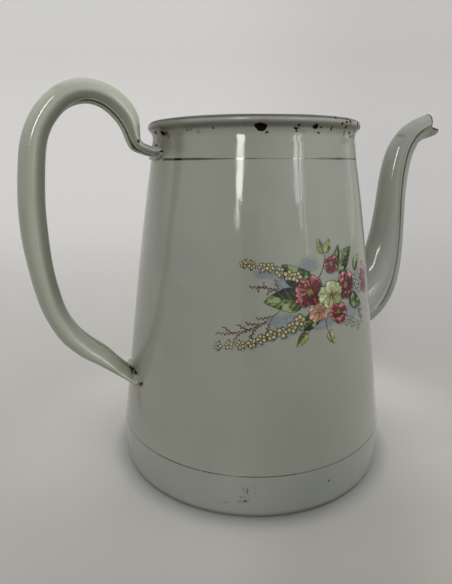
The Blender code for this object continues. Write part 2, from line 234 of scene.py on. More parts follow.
def unrolled(marks, radius=wall_radius):
    """The marks with their azimuths in degrees made into lengths round the wall, in mm."""
    return [(azimuth * DEGREE * float(radius(height * MM)) / MM, height, *rest)
            for azimuth, height, *rest in marks]


def tag(piece, **fields):
    """Keeps numbers on a piece's vertices, for its material."""
    for name, values in fields.items():
        layer = piece.data.attributes.new(name, "FLOAT", "POINT")
        layer.data.foreach_set("value", np.broadcast_to(values, len(piece.data.vertices)).astype(float))


def mark(piece, shown, across, up, chips, soils, **fields):
    """Tags the vertices that are shown with chips and stains, and all of them with other fields."""
    tag(piece, chip=np.where(shown, chip_edge(across, up, chips), UNCHIPPED),
        soil=np.where(shown, soiling(across, up, soils), 0.0), **fields)


class Term:
    """What comes out of a shader node. Sums written with it add Math nodes."""

    def __init__(self, shading, socket):
        self.shading, self.socket = shading, socket

    def math(self, operation, *values):
        return self.shading.node("Math", (self, *values), operation=operation)

    __add__ = __radd__ = partialmethod(math, "ADD")
    __sub__ = partialmethod(math, "SUBTRACT")
    __mul__ = partialmethod(math, "MULTIPLY")
    least = partialmethod(math, "MINIMUM")
    most = partialmethod(math, "MAXIMUM")

    def step(self, start, end):
        """Goes smoothly from 0 to 1 while the term goes from start to end."""
        return self.shading.node("MapRange", (self, start, end), interpolation_type="SMOOTHSTEP")


class Shading:
    """Nodes of a material or a world. node() adds a node by type, fills its sockets and sets it up."""

    def __init__(self, owner, shader="Principled BSDF", place="Object"):
        owner.use_nodes = True
        self.tree = owner.node_tree
        self.shader = self.tree.nodes[shader]
        self.place = self.node("TexCoord", output=place)

    def node(self, kind, values=(), output=0, **settings):
        made = self.tree.nodes.new("ShaderNode" + kind)
        for key, value in settings.items():
            setattr(made, key, value)
        for socket, value in values.items() if isinstance(values, dict) else enumerate(values):
            self.feed(made.inputs[socket], value)
        return Term(self, made.outputs[output])

    def feed(self, socket, value):
        if isinstance(value, Term):
            self.tree.links.new(value.socket, socket)
        else:
            socket.default_value = value

    def tagged(self, name, output="Fac"):
        return self.node("Attribute", output=output, attribute_name=name)

    def along(self, way):
        """Dot product of the place and a way."""
        return self.node("VectorMath", (self.place, tuple(way)), "Value", operation="DOT_PRODUCT")

    def mix(self, factor, first, second):
        """Colour that goes from first to second with the factor."""
        first, second = [c if isinstance(c, Term) else (*c, 1) for c in (first, second)]
        return self.node("Mix", {0: factor, 6: first, 7: second}, 2, data_type="RGBA")

    def noise(self, size, detail, stretch=(1, 1, 1)):
        """Cloud of the given size in metres, from 0 to 1, stretched along the axes."""
        scale = [1 / (size * s) for s in stretch]
        scaled = self.node("Mapping", (self.place, (0, 0, 0), (0, 0, 0), scale))
        return self.node("TexNoise", {"Vector": scaled, "Scale": 1.0, "Detail": detail})

    def bump(self, relief):
        return self.node("Bump", {"Strength": 1.0, "Distance": RELIEF, "Height": relief}, "Normal")

    def set(self, **sockets):
        for name, value in sockets.items():
            self.feed(self.shader.inputs[name.replace("_", " ")], value)


ENAMEL_COLOUR = (0.266, 0.272, 0.222)
ENAMEL_THICK = (0.215, 0.224, 0.192)  # where the glaze lies thick, greyer and darker
SOIL_COLOUR = (0.115, 0.086, 0.042)
SHADE_AND_GRIME_COLOUR = (0.085, 0.088, 0.070)  # painted shade under the bead, at the base's foot, by the spout's root and on the handle, with some grime round the handle's upper foot
STEEL_COLOUR = (0.010, 0.009, 0.007)  # bare, blackened steel in a chip
RUST_COLOUR = (0.060, 0.036, 0.014)
WORN_COLOUR = (0.050, 0.041, 0.025)
GILT_COLOUR = (0.105, 0.086, 0.047)  # tarnished
UNLIT_GILT = (0.058, 0.047, 0.024)  # the lower line, dull
RELIEF = 0.25 * MM
RIPPLE = (8 * MM, 1.5, (1, 1, 3.2))  # size, detail and stretch of the enamel's slow waves
DIMPLE = (2.6 * MM, 2.0, (1, 1, 1.5))


def enamel(name, gilt_lines=(), tint=(1, 1, 1), gloss=0.075, index=1.5):
    """Glossy vitreous enamel on one piece: clouded, rippled, chipped where its "chip" tag is under 0,
    stained by its "soil" tag, rubbed brown by its "worn" tag, darkened by the tag that holds painted
    shade and some grime, and with gilt lines at given heights. A tint makes a lighter or darker copy of
    the enamel, which is painted light or shade."""
    material = bpy.data.materials.new(name)
    s = Shading(material)
    chip, soil, worn, grime = [s.tagged(field) for field in ("chip", "soil", "worn", "grime")]
    height = s.along((0, 0, 1))
    fine = s.noise(1.1 * MM, 3.0)
    grain = s.noise(0.45 * MM, 2.0)
    thin, thick = [tuple(c * t for c, t in zip(colour, tint)) for colour in (ENAMEL_COLOUR, ENAMEL_THICK)]
    colour = s.mix(s.noise(34 * MM, 3.0).step(0.35, 0.75) * 0.4, thin, thick)
    roughness = gloss + s.noise(11 * MM, 4.0, (1, 1, 1.6)).step(0.5, 0.8) * 0.07
    relief = s.noise(*RIPPLE) * 0.55 + s.noise(*DIMPLE) * 0.070 + grain * 0.004
    dirt = (soil * (0.35 + fine * 0.9) + (grain - 0.5) * soil * 0.5).least(1.0)
    colour = s.mix(grime * (0.75 + fine * 0.5), colour, SHADE_AND_GRIME_COLOUR)
    colour = s.mix(dirt * 0.85, colour, SOIL_COLOUR)
    rubbed = (worn + (fine - 0.5) * 0.9 + (grain - 0.5) * 0.25).step(0.35, 0.75)
    colour = s.mix(rubbed * 0.85, colour, WORN_COLOUR)
    roughness = roughness + (dirt + rubbed) * 0.22
    metallic = 0.0
    if gilt_lines:
        wander = s.noise(16 * MM, 2.0).step(0.38, 0.7)
        by_handle = s.along(towards(-160)).step(45 * MM, 56.5 * MM)
        by_spout = s.along(towards(-45)).step(38 * MM, 50 * MM)
        broad = by_handle.most(by_spout * 0.75)
        on_neck = height.step(100 * MM, 120 * MM)
        gilt = 0.0
        for line_height in gilt_lines:
            if line_height == LINE_HEIGHTS[1]:
                width = 0.13 * MM + wander * (0.12 * MM) + broad * (0.36 * MM)
                cover = (0.55 + wander * 0.4).most(broad) * s.along((1, 0, 0)).step(-58 * MM, -57 * MM)
            else:
                width, cover = 0.20 * MM + wander * (0.10 * MM), 0.80 + wander * 0.20
            off = (height - line_height).math("ABSOLUTE") + (fine - 0.5) * (0.26 * MM) - width
            gilt = (off.step(0.1 * MM, -0.06 * MM) * cover).most(gilt)
        colour = s.mix(gilt, colour, s.mix(on_neck, UNLIT_GILT, GILT_COLOUR))
        metallic = gilt * on_neck
        roughness = roughness + gilt * 0.03 + height.step(195 * MM, 196.2 * MM) * 0.16
    edge = chip + (fine - 0.5) * 0.42 + (grain - 0.5) * 0.28
    bare = edge.step(0.10, -0.08)
    colour = s.mix(edge.step(0.50, 0.0) * 0.5, colour, SOIL_COLOUR)
    colour = s.mix(bare, colour, s.mix(fine.step(0.55, 0.75) * 0.4, STEEL_COLOUR, RUST_COLOUR))
    roughness = (roughness + grime * 0.12 + bare * 0.6).least(0.8)
    bump = s.bump(relief - bare * 0.5 + bare * grain * 0.5)
    s.set(Base_Color=colour, Roughness=roughness, Metallic=bare.most(metallic), Normal=bump, IOR=index)
    return material


def finish_piece(piece, material, *nodes):
    """Gives a piece its material and its body, and hides the nodes of the frame that it stands for."""
    piece.data.materials.append(material)
    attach(piece, "root")
    if nodes:
        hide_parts(*nodes)


low, high = LINE_HEIGHTS
density_at = np.linspace(-np.pi, np.pi, 721)
from_front = np.abs(np.angle(np.exp(1j * (density_at - FRONT_AZIMUTH))))
density = 1 + FRONT_GAIN * np.exp(-(from_front / FRONT_SPREAD) ** 4)
mesh_share = np.concatenate([[0], np.cumsum((density[1:] + density[:-1]) / 2)])
wall_azimuths = np.interp(np.arange(WALL_COLUMNS) / WALL_COLUMNS, mesh_share / mesh_share[-1], density_at)

outside_heights = np.concatenate([[low, low + EDGE_LOOP], np.linspace(low, high, 38)[1:-1],
                                  np.linspace(high, GROOVE_HEIGHT, 11)])
outside = pairs(wall_radius(outside_heights), outside_heights)
bead = arc(BEAD_CENTRE, BEAD_RADIUS, BEAD_START, BEAD_END, 34)
bead_ways = [np.array([-np.sin(end * DEGREE), np.cos(end * DEGREE)]) for end in (BEAD_START, BEAD_END)]
under_bead = bend(outside[-1], (-1.0 * MM, 8.6 * MM), bead[0], bead_ways[0] * 12 * MM, 26)[1:-1]
inside_heights = np.concatenate([np.linspace(GROOVE_HEIGHT, 182 * MM, 5), np.linspace(high, low, 26)])
inside = pairs(wall_radius(inside_heights) - SHEET, inside_heights)
behind_bead = bend(bead[-1], bead_ways[1] * 5 * MM, inside[0], (0, -6 * MM), 10)[1:-1]
wall_profile = np.concatenate([outside, under_bead, bead, behind_bead, inside])
wall_grid = turned(wall_profile, wall_azimuths)

azimuths, heights = np.broadcast_to(wall_azimuths, wall_grid.shape[:2]), wall_grid[..., 2].copy()
outer_rows = (np.arange(len(wall_profile)) < len(outside) + len(under_bead) + BEAD_OUTER_ROWS)[:, None]
edge = chip_edge(azimuths * wall_radius(heights), heights, unrolled(RIM_CHIPS))
sunk = CHIP_DEPTH * step(edge, 0.05, -0.3) * outer_rows
wall_grid[..., :2] *= (1 - sunk / np.hypot(wall_grid[..., 0], wall_grid[..., 1]))[..., None]
dip = 0.5 + 0.25 * np.sin(3 * azimuths + 1) + 0.15 * np.sin(7 * azimuths + 2) + 0.1 * np.sin(13 * azimuths)
wall_grid[..., 2] -= RIM_DIP * dip * step(heights, GROOVE_HEIGHT, 196 * MM)
wall = lay("wall_and_rim", wall_grid, rows_join=True)

# The strainer: holes punched through the wall inside the spout's root.
HOLE_RADIUS = 2.4 * MM
HOLE_PITCH = 7.0 * MM
HOLES_IN_ROWS = (2, 3, 2, 3, 2)
PUNCH_REACH = (60 * MM, 90 * MM)  # of the punches, from the axis
STRAINER_HEIGHT = 82.2 * MM

punches = []
for row, count in enumerate(HOLES_IN_ROWS):
    hole_height = STRAINER_HEIGHT + (row - 2) * HOLE_PITCH * np.sin(60 * DEGREE)
    for i in range(count):
        hole = arc(((i - (count - 1) / 2) * HOLE_PITCH, hole_height), HOLE_RADIUS, 0, 360, 33)[:-1]
        rings = [np.insert(hole, 0, out, axis=-1) for out in PUNCH_REACH]
        punches.append(lay("punch", np.stack(rings), ends=True))
with bpy.context.temp_override(active_object=punches[0], selected_editable_objects=punches):
    bpy.ops.object.join()
cutter = punches[0]
cut = wall.modifiers.new("strainer", "BOOLEAN")
cut.operation, cut.solver, cut.object = "DIFFERENCE", "EXACT", cutter
with bpy.context.temp_override(object=wall, active_object=wall):
    bpy.ops.object.modifier_apply(modifier="strainer")
bpy.data.objects.remove(cutter)

x, y, z = vertices(wall)
radius, azimuth = np.hypot(x, y), np.arctan2(y, x)
outer = (radius > wall_radius(z) - SHEET / 2) | ((z > 190 * MM) & (radius > BEAD_CENTRE[0] - 1 * MM))
crest = step(z, 197.9 * MM, 198.8 * MM) * (0.85 + 0.35 * np.cos(azimuth + 155 * DEGREE))
# Painted shade under the bead, where it faces down; darker, duller enamel with some grime round the
# handle's upper foot.
under = step(z, 193.3 * MM, 194.8 * MM) * step(z, 197.6 * MM, 195.9 * MM)
by_handle = step(x, -48 * MM, -53 * MM) * step(z, 180 * MM, 186 * MM)
mark(wall, outer, azimuth * wall_radius(z), z, unrolled(RIM_CHIPS), unrolled(WALL_SOILS), worn=crest,
     grime=np.where(outer, np.maximum(under * 0.8, by_handle * 0.45), 0.0))
finish_piece(wall, enamel("wall_enamel", LINE_HEIGHTS), "body_shell", "rim_wire")


# The base: one pressing, with a flat bottom and an upright band that swells a little at mid height.
# It is welded inside the wall's foot, and the lower gilt line hides the joint.
BAND_FOOT_RADIUS = 81.9 * MM
BAND_BELLY = 0.45 * MM
BASE_FILLET = 1.9 * MM
BASE_COLUMNS = 480
BASE_CHIPS = ((-173.9, 10.4, 0.5, 0.7), (-84.0, 15.5, 0.6, 0.6), (-116.3, 10.5, 1.3, 0.5),
              (-115.0, 11.0, 0.4, 0.35), (-118.6, 9.9, 0.4, 0.3), (-123.3, 8.7, 0.5, 0.35),
              (-116.9, 18.0, 0.3, 0.6), (-116.8, 16.3, 0.25, 0.5), (-115.5, 17.2, 0.25, 0.6),
              (-115.6, 15.4, 0.3, 0.5), (-112.7, 15.3, 0.45, 0.3), (-117.6, 12.8, 0.3, 0.4),
              (-54.3, 13.0, 0.3, 0.3), (40.0, 3.0, 1.6, 0.7), (150.0, 2.6, 1.1, 0.6))
BASE_SOILS = ((-116.7, 17.2, 0.4, 1.3, 0.75), (-115.5, 16.2, 0.4, 1.4, 0.65), (-112.9, 15.2, 0.5, 0.7, 0.5),
              (-112.6, 18.8, 0.9, 0.9, 0.3), (-117.6, 10.3, 2.4, 0.7, 0.5), (-116.2, 13.0, 1.5, 1.2, 0.35),
              (-123.4, 8.7, 2.4, 0.5, 0.35))

band_heights = np.append(np.linspace(BASE_FILLET, low, 24)[:-1], [low - EDGE_LOOP, low])
band_share = (band_heights - BASE_FILLET) / (low - BASE_FILLET)
band_radii = (BAND_FOOT_RADIUS + (WAIST_RADIUS - BAND_FOOT_RADIUS) * band_share
              + 4 * BAND_BELLY * band_share * (1 - band_share))
flat_radius = BAND_FOOT_RADIUS - BASE_FILLET
base_profile = np.concatenate([
    pairs(np.linspace(2 * MM, flat_radius, 12)[:-1], 0),
    arc((flat_radius, BASE_FILLET), BASE_FILLET, -90, 0, 8)[:-1],
    pairs(band_radii, band_heights),
    [(WAIST_RADIUS - 0.9 * SHEET, low + 0.4 * MM), (WAIST_RADIUS - 1.1 * SHEET, low)],
    pairs(band_radii - 1.1 * SHEET, band_heights)[::-1][1:],
    arc((flat_radius - SHEET, BASE_FILLET + SHEET), BASE_FILLET, 0, -90, 8)[1:],
    pairs(np.linspace(flat_radius - SHEET, 2 * MM, 12)[1:], SHEET)])
base_azimuths = np.linspace(-np.pi, np.pi, BASE_COLUMNS, endpoint=False)
base = lay("base_enamelled", turned(base_profile, base_azimuths), ends=True)
x, y, z = vertices(base)
outer = np.hypot(x, y) > BAND_FOOT_RADIUS - SHEET / 2
base_marks = [unrolled(marks, lambda height: WAIST_RADIUS) for marks in (BASE_CHIPS, BASE_SOILS)]
# The band's lower edge is darkened where it meets the table: painted shade.
mark(base, outer, np.arctan2(y, x) * WAIST_RADIUS, z, *base_marks,
     grime=np.where(outer, step(z, 3.6 * MM, 0.8 * MM) * 0.8, 0.0))
# The base's enamel is a cooler, slightly lighter copy of the wall's: painted light.
finish_piece(base, enamel("base_enamel", LINE_HEIGHTS[:1], tint=(0.98, 1.005, 1.085)), "base_pan")


# The print: a spray of dog-roses, leaves, small blossoms and russet sprigs, transferred to the front
# and fired on. It is a thin film of its own, painted point by point and laid on the enamel.
PRINT_AZIMUTH = -88 * DEGREE  # of the print's own middle line, where u is 0
PRINT_RADIUS = 69.3 * MM  # of the wall at its middle height
PRINT_PROUD = 0.05 * MM
PRINT_FROM = (-54.0, 86.5)  # u and v of its lower left corner, in mm
PRINT_TO = (47.5, 146.0)
PRINT_PITCH = 0.17  # of its grid, in mm
PRINT_SHEEN, PRINT_BODY = 0.022, 0.72  # what is seen is the sheen and this share of the pigment
LATTICE = 64  # steps after which the soft noise repeats


def pigment(*levels):
    """Linear colours that are seen at these display levels, from 0 to 255, once the gloss adds its
    share. The levels are of one colour, or of deep, full and light tones."""
    share = np.array(levels) / 255
    seen = np.where(share > 0.04045, ((share + 0.055) / 1.055) ** 2.4, share / 12.92)
    return np.maximum((seen - PRINT_SHEEN) / PRINT_BODY, 0.0015)


BURGUNDY = pigment((44, 18, 20), (96, 34, 36), (168, 118, 112))
WINE = pigment((48, 20, 28), (98, 42, 52), (170, 128, 130))
ROSE = pigment((104, 66, 56), (156, 122, 104), (184, 168, 148))
CREAM = pigment((90, 90, 58), (146, 151, 117), (176, 181, 152))
LEAF_GREEN = pigment((28, 34, 22), (72, 84, 48), (124, 136, 102))
LEAF_DARK = pigment((24, 30, 24), (52, 64, 42), (116, 128, 92))
BUD_GREEN = pigment((56, 60, 30), (104, 108, 62), (148, 151, 106))
PETAL_WHITE = pigment((88, 74, 44), (134, 126, 92), (170, 166, 138))
HAZE_BLUE = pigment(120, 128, 133)
UMBER = pigment(42, 28, 22)
RUSSET = pigment(78, 38, 34)
OCHRE = pigment(150, 138, 66)

print_u = np.arange(PRINT_FROM[0], PRINT_TO[0], PRINT_PITCH)
print_v = np.arange(PRINT_FROM[1], PRINT_TO[1], PRINT_PITCH)
film_colour = np.zeros((len(print_v), len(print_u), 3)) + HAZE_BLUE
film_cover = np.zeros((len(print_v), len(print_u)))


def mottle(a, b, seed):
    """Soft noise from 0 to 1: seeded random numbers on a lattice of whole steps, blended smoothly."""
    lattice = np.random.default_rng(seed).random((LATTICE, LATTICE))
    i, j = np.floor(a).astype(int), np.floor(b).astype(int)
    s, t = a - i, b - j
    s, t = s * s * (3 - 2 * s), t * t * (3 - 2 * t)
    corner = [[lattice[(i + m) % LATTICE, (j + n) % LATTICE] for n in (0, 1)] for m in (0, 1)]
    return ((corner[0][0] * (1 - t) + corner[0][1] * t) * (1 - s)
            + (corner[1][0] * (1 - t) + corner[1][1] * t) * s)


def brush(middle, reach):
    """A stroke over the part of the film within a reach of a point, and u and v from the point. The
    stroke lays a colour there, with a cover from 0 to 1."""
    across, up = [slice(*np.searchsorted(places, (at - reach, at + reach)))
                  for places, at in zip((print_u, print_v), middle)]
    film, covered = film_colour[up, across], film_cover[up, across]

    def stroke(cover, colour):
        cover = np.clip(cover, 0, 1)
        film[:] += (colour - film) * cover[..., None]
        covered[:] += (1 - covered) * cover

    return stroke, *np.meshgrid(print_u[across] - middle[0], print_v[up] - middle[1])


def blend(tones, share):
    """Colour between deep, full and light tones, for a share from 0 to 1."""
    share = np.clip(share, 0, 1)[..., None] * 2
    return np.where(share < 1, tones[0] + (tones[1] - tones[0]) * share,
                    tones[1] + (tones[2] - tones[1]) * (share - 1))


def turned_by(u, v, turn):
    """u and v along and across a way that is turned by some degrees."""
    a = turn * DEGREE
    return u * np.cos(a) + v * np.sin(a), v * np.cos(a) - u * np.sin(a)


def bearing(way):
    """Turn of a way, in degrees."""
    return np.degrees(np.arctan2(way[1], way[0]))


def curve(start, end, bow, count):
    """Points from start to end along a parabola that bows to the left of the way by a length."""
    t = np.linspace(0, 1, count)[:, None]
    start, end = np.array(start, float), np.array(end, float)
    way = end - start
    left = np.array([-way[1], way[0]]) / np.linalg.norm(way)
    return start + way * t + left * bow * 4 * t * (1 - t)


def draw_line(start, end, bow, width, colour, strength=1.0):
    """Line along a curve, tapering to half its width."""
    points = curve(start, end, bow, 90)
    middle, reach = points.mean(axis=0), np.ptp(points, axis=0).max() / 2 + abs(bow) + 1
    stroke, u, v = brush(middle, reach)
    away = np.hypot(u[..., None] + middle[0] - points[:, 0], v[..., None] + middle[1] - points[:, 1])
    half = width / 2 * (1 - 0.5 * np.argmin(away, axis=-1) / (len(points) - 1))
    stroke(step(away.min(axis=-1) - half, 0.14, -0.08) * strength, colour)


def draw_dot(middle, length, width, turn, colour, strength):
    """Oval dot, pointed along its turn."""
    stroke, u, v = brush(middle, length + 0.3)
    along_it, off = turned_by(u, v, turn)
    oval = np.hypot(along_it / (length / 2), off / (width / 2) * (1 + 0.5 * along_it / length))
    stroke(step(oval, 1.25, 0.75) * strength, colour)


def draw_haze(middle, wide, high, strength, seed):
    """Cloud of pale blue shading: a bell, a little broken up by noise."""
    stroke, u, v = brush(middle, 2.2 * max(wide, high))
    bell = np.exp(-((u / wide) ** 2 + (v / high) ** 2))
    ragged = (0.65 + 0.5 * mottle(u / 1.9 + 9, v / 1.5 + 9, seed)
              + 0.25 * mottle(u / 0.6 + 9, v / 0.6 + 9, seed))
    stroke(step(bell * ragged, 0.18, 0.95) * strength, HAZE_BLUE)


def draw_leaf(base, tip, width, bow, tones, seed, lit):
    """Leaf about a curved midrib: |s| < w(t), w a skewed sine with a toothed edge. The half on the lit
    side is light, the other dark, with veins that slant towards the tip and patches of gloss."""
    base, tip = np.array(base, float), np.array(tip, float)
    length = np.linalg.norm(tip - base)
    turn = bearing(tip - base)
    stroke, u, v = brush((base + tip) / 2, length / 2 + width)
    t, s = turned_by(u, v, turn)
    t = t / length + 0.5
    inside = np.clip(t, 0.001, 0.999)
    s = (s - bow * 4 * t * (1 - t)) / width
    wave = mottle(inside * 4.3 + 3 * np.sign(s), inside * 0, seed)
    tooth = 1 + 0.16 * (wave - 0.5) + 0.10 * np.abs((inside * 8 + wave) % 1 - 0.5)
    half = 0.5 * np.sin(np.pi * inside ** 0.68) ** 0.75 * tooth
    out = np.abs(s)
    off = out / np.maximum(half, 1e-3)
    grain = mottle(t * 17 + 20, s * 11 + 20, seed)
    gloss = mottle(t * 4.5 + 20, s * 4 + 20, seed + 5)
    vein = np.abs((inside * 6.0 - off * 1.3 + 0.25 * grain) % 1 - 0.5)
    side = np.sign(s) * step(out, 0, 0.06)
    share = 0.34 + 0.22 * lit * side + 0.34 * (grain - 0.5) + 0.95 * step(gloss, 0.5, 0.9)
    share = share + 0.25 * step(vein, 0.28, 0.5) - 0.30 * step(vein, 0.14, 0.0)
    share = share - 0.25 * step(off, 0.66, 1.0) - 0.22 * step(inside, 0.35, 0.0)
    body = step(half - out, -0.05 / width, 0.16 / width) * step(t, -0.01, 0.02) * step(t, 1.01, 0.98)
    halo = step(half - out, -0.55 / width, 0.1 / width) * step(t, -0.04, 0.02) * step(t, 1.04, 0.98)
    stroke(halo * 0.35, HAZE_BLUE * 0.7)
    stroke(body, blend(tones, share))
    rib = step(out * width, 0.20, 0.07) * step(t, 1.0, 0.7) * body
    stroke(rib * 0.45 * step(t, 0.0, 0.2), tones[2])
    stroke(step(np.abs(out * width - 0.26), 0.14, 0.03) * body * 0.35, tones[0])
    line = step(np.abs(half - out) * width, 0.34, 0.14) * body * step(grain, 0.05, 0.4)
    stroke(line * 0.9, tones[0] * 0.55)


def draw_bloom(middle, radius, turn, squash, tones, seed, eye=OCHRE, star=UMBER):
    """Five-petalled flower. Each petal is an oval with a frilled, notched rim, shaded along and across
    by streaks that run out from the middle. The flower is squashed along v, as if tilted."""
    stroke, u, v = brush(middle, 1.35 * radius)
    u, v = u / radius, v / radius / squash
    bearings = np.arctan2(v, u)
    wander = np.random.default_rng(seed).uniform(-1, 1, (5, 4))
    stroke(step(np.hypot(u - 0.06, v + 0.08), 1.06, 0.8) * 0.45, UMBER)
    for k in (0, 2, 4, 1, 3):
        petal_turn = turn + 72 * k + 9 * wander[k, 0]
        a, b = turned_by(u, v, petal_turn)
        size = 1 + 0.12 * wander[k, 1]
        around = np.arctan2(b, a - 0.45)
        coarse, delicate = [mottle(around * waves + 20, 0 * a + k, seed) - 0.5 for waves in (4.2, 9)]
        frill = coarse + 0.6 * delicate
        off = np.hypot((a - 0.52 * size) / (0.47 * size), b / (0.50 * size)) + 0.17 * frill
        off += 0.20 * np.exp(-((b - 0.05 * wander[k, 2]) / 0.09) ** 2) * step(a, 0.6, 0.95)
        stroke(step(off, 1.22, 0.95) * 0.5 * step(a, 0.1, 0.4), UMBER)
        cover = step(off, 1.0 + 0.10 / radius, 1.0 - 0.28 / radius)
        streak = mottle(np.arctan2(b, np.maximum(a, 0.02)) * 11 + 20, a * 2.4 + k, seed + 7)
        patch = mottle(a * 4 + 20, b * 5 + 20 + 7 * k, seed + 11)
        lit = np.cos((petal_turn - 125) * DEGREE)
        share = 0.20 + 0.26 * a + 0.55 * (streak - 0.5) + 0.10 * lit + 0.16 * b * wander[k, 3]
        share = share + 0.50 * step(patch, 0.55, 0.9) * step(a, 0.25, 0.6)
        share = share + 0.42 * np.exp(-((off - 0.80) / 0.09) ** 2) * step(patch + 0.3 * lit, 0.35, 0.75)
        share = share - 0.25 * step(off, 0.9, 1.0)
        stroke(cover, blend(tones, share))
        line = step(np.abs(off - 0.98), 0.09, 0.02) * step(a, 0.05, 0.25)
        stroke(line * cover * step(streak, 0.2, 0.7) * 0.8, tones[0] * 0.6)
    distance = np.hypot(u, v)
    spikes = step(mottle(bearings * 3.8 + 30, 0 * u, seed + 3), 0.3, 0.7)
    stroke(step(distance, 0.22 + 0.30 * spikes, 0.08) * 0.8, star)
    rays = step(mottle(bearings * 6 + 30, 0 * u, seed + 4), 0.5, 0.8)
    stroke(step(distance, 0.17 + 0.18 * rays, 0.08) * 0.75, eye)
    stroke(step(distance, 0.12, 0.04) * 0.6, star)
    for k in range(7):
        draw_dot(middle + 0.19 * radius * towards(51 * k)[:2] * (1, squash), 0.40, 0.34, 0, UMBER, 0.7)


def draw_blossom(middle, radius, turn, seed):
    """Small flower: five uneven petals with umber outlines, about an ochre middle, in a dark shadow."""
    stroke, u, v = brush(middle, 1.7 * radius)
    random = np.random.default_rng(seed)
    grain = mottle(u * 2.6 + 20, v * 2.6 + 20, seed)
    shadow = step(np.hypot(u - 0.2 * radius, v + 0.25 * radius), 1.45 * radius, 0.6 * radius)
    stroke(shadow * step(grain, 0.42, 0.75) * 0.9, UMBER)
    for k in range(5):
        a, b = turned_by(u, v, turn + 72 * k + random.uniform(-11, 11))
        size = random.uniform(0.85, 1.15)
        off = np.hypot((a - 0.56 * radius) / (0.46 * size), b / (0.37 * size)) / radius
        off += 0.2 * (grain - 0.5)
        stroke(step(off, 1.24, 0.98), UMBER)
        tone = 0.95 - 0.55 * off + 0.7 * (grain - 0.5) - 0.35 * step(a, 0.6 * radius, 0.1 * radius)
        stroke(step(off, 0.92, 0.70), blend(PETAL_WHITE, tone))
        stroke(step(np.abs(b), 0.10, 0.02) * step(a, 0.75 * radius, 0.3 * radius)
               * step(a, 0.0, 0.2 * radius) * 0.6, OCHRE)
    distance = np.hypot(u, v) / radius
    stroke(step(distance, 0.34, 0.20) * 0.9, UMBER)
    stroke(step(distance, 0.22, 0.08) * 0.9, OCHRE)


def draw_spray(start, end, bow, count, radius, seed):
    """Row of small blossoms along a stem, getting smaller towards its end, with dots of green between."""
    draw_line(start, end, bow, 0.36, LEAF_GREEN[0], 0.7)
    random = np.random.default_rng(seed)
    places = curve(start, end, bow, count + 1)[1:]
    for i in range(count - 1, -1, -1):
        place = places[i] + random.uniform(-1, 1, 2) * (0.7 if i < count - 2 else 0.3)
        for side in (-1, 1):
            leaf = place + np.array([random.uniform(-1.6, 1.6), side * random.uniform(1.8, 2.6)])
            draw_dot(leaf, 1.5, 0.7, random.uniform(0, 180), LEAF_GREEN[0] if side > 0 else UMBER, 0.7)
        draw_blossom(places[i] + random.uniform(-0.6, 0.6, 2), radius * (1 - 0.4 * i / count),
                     random.uniform(0, 72), seed + i)


def draw_sprig(start, end, bow, twigs, seed, longest):
    """Heath-like sprig in russet: a stem with twigs on either side, and small buds all along them."""
    random = np.random.default_rng(seed)
    stems = [(np.array(start, float), np.array(end, float), bow)]
    spine = curve(start, end, bow, 41)
    for i in range(twigs):
        at = int(7 + 27 * i / twigs)
        turn = bearing(spine[at + 2] - spine[at])
        side = 1 if i % 2 else -1
        lean = towards(turn + side * random.uniform(26, 40))[:2]
        reach = longest * (1 - 0.5 * i / twigs) * random.uniform(0.75, 1.1)
        stems.append((spine[at], spine[at] + reach * lean, -0.9 * side))
    for stem_start, stem_end, stem_bow in stems:
        draw_line(stem_start, stem_end, stem_bow, 0.34, RUSSET, 0.9)
        count = max(int(np.linalg.norm(stem_end - stem_start) / 0.95), 3)
        points = curve(stem_start, stem_end, stem_bow, count + 1)
        for j in range(1 + count // 3, count + 1):
            turn = bearing(points[j] - points[j - 1])
            side = 1 if j % 2 else -1
            place = points[j] + random.uniform(0.25, 0.5) * towards(turn + 90 * side)[:2]
            draw_dot(place, random.uniform(1.0, 1.5), random.uniform(0.5, 0.75),
                     turn + side * random.uniform(18, 42), RUSSET, random.uniform(0.75, 1.0))


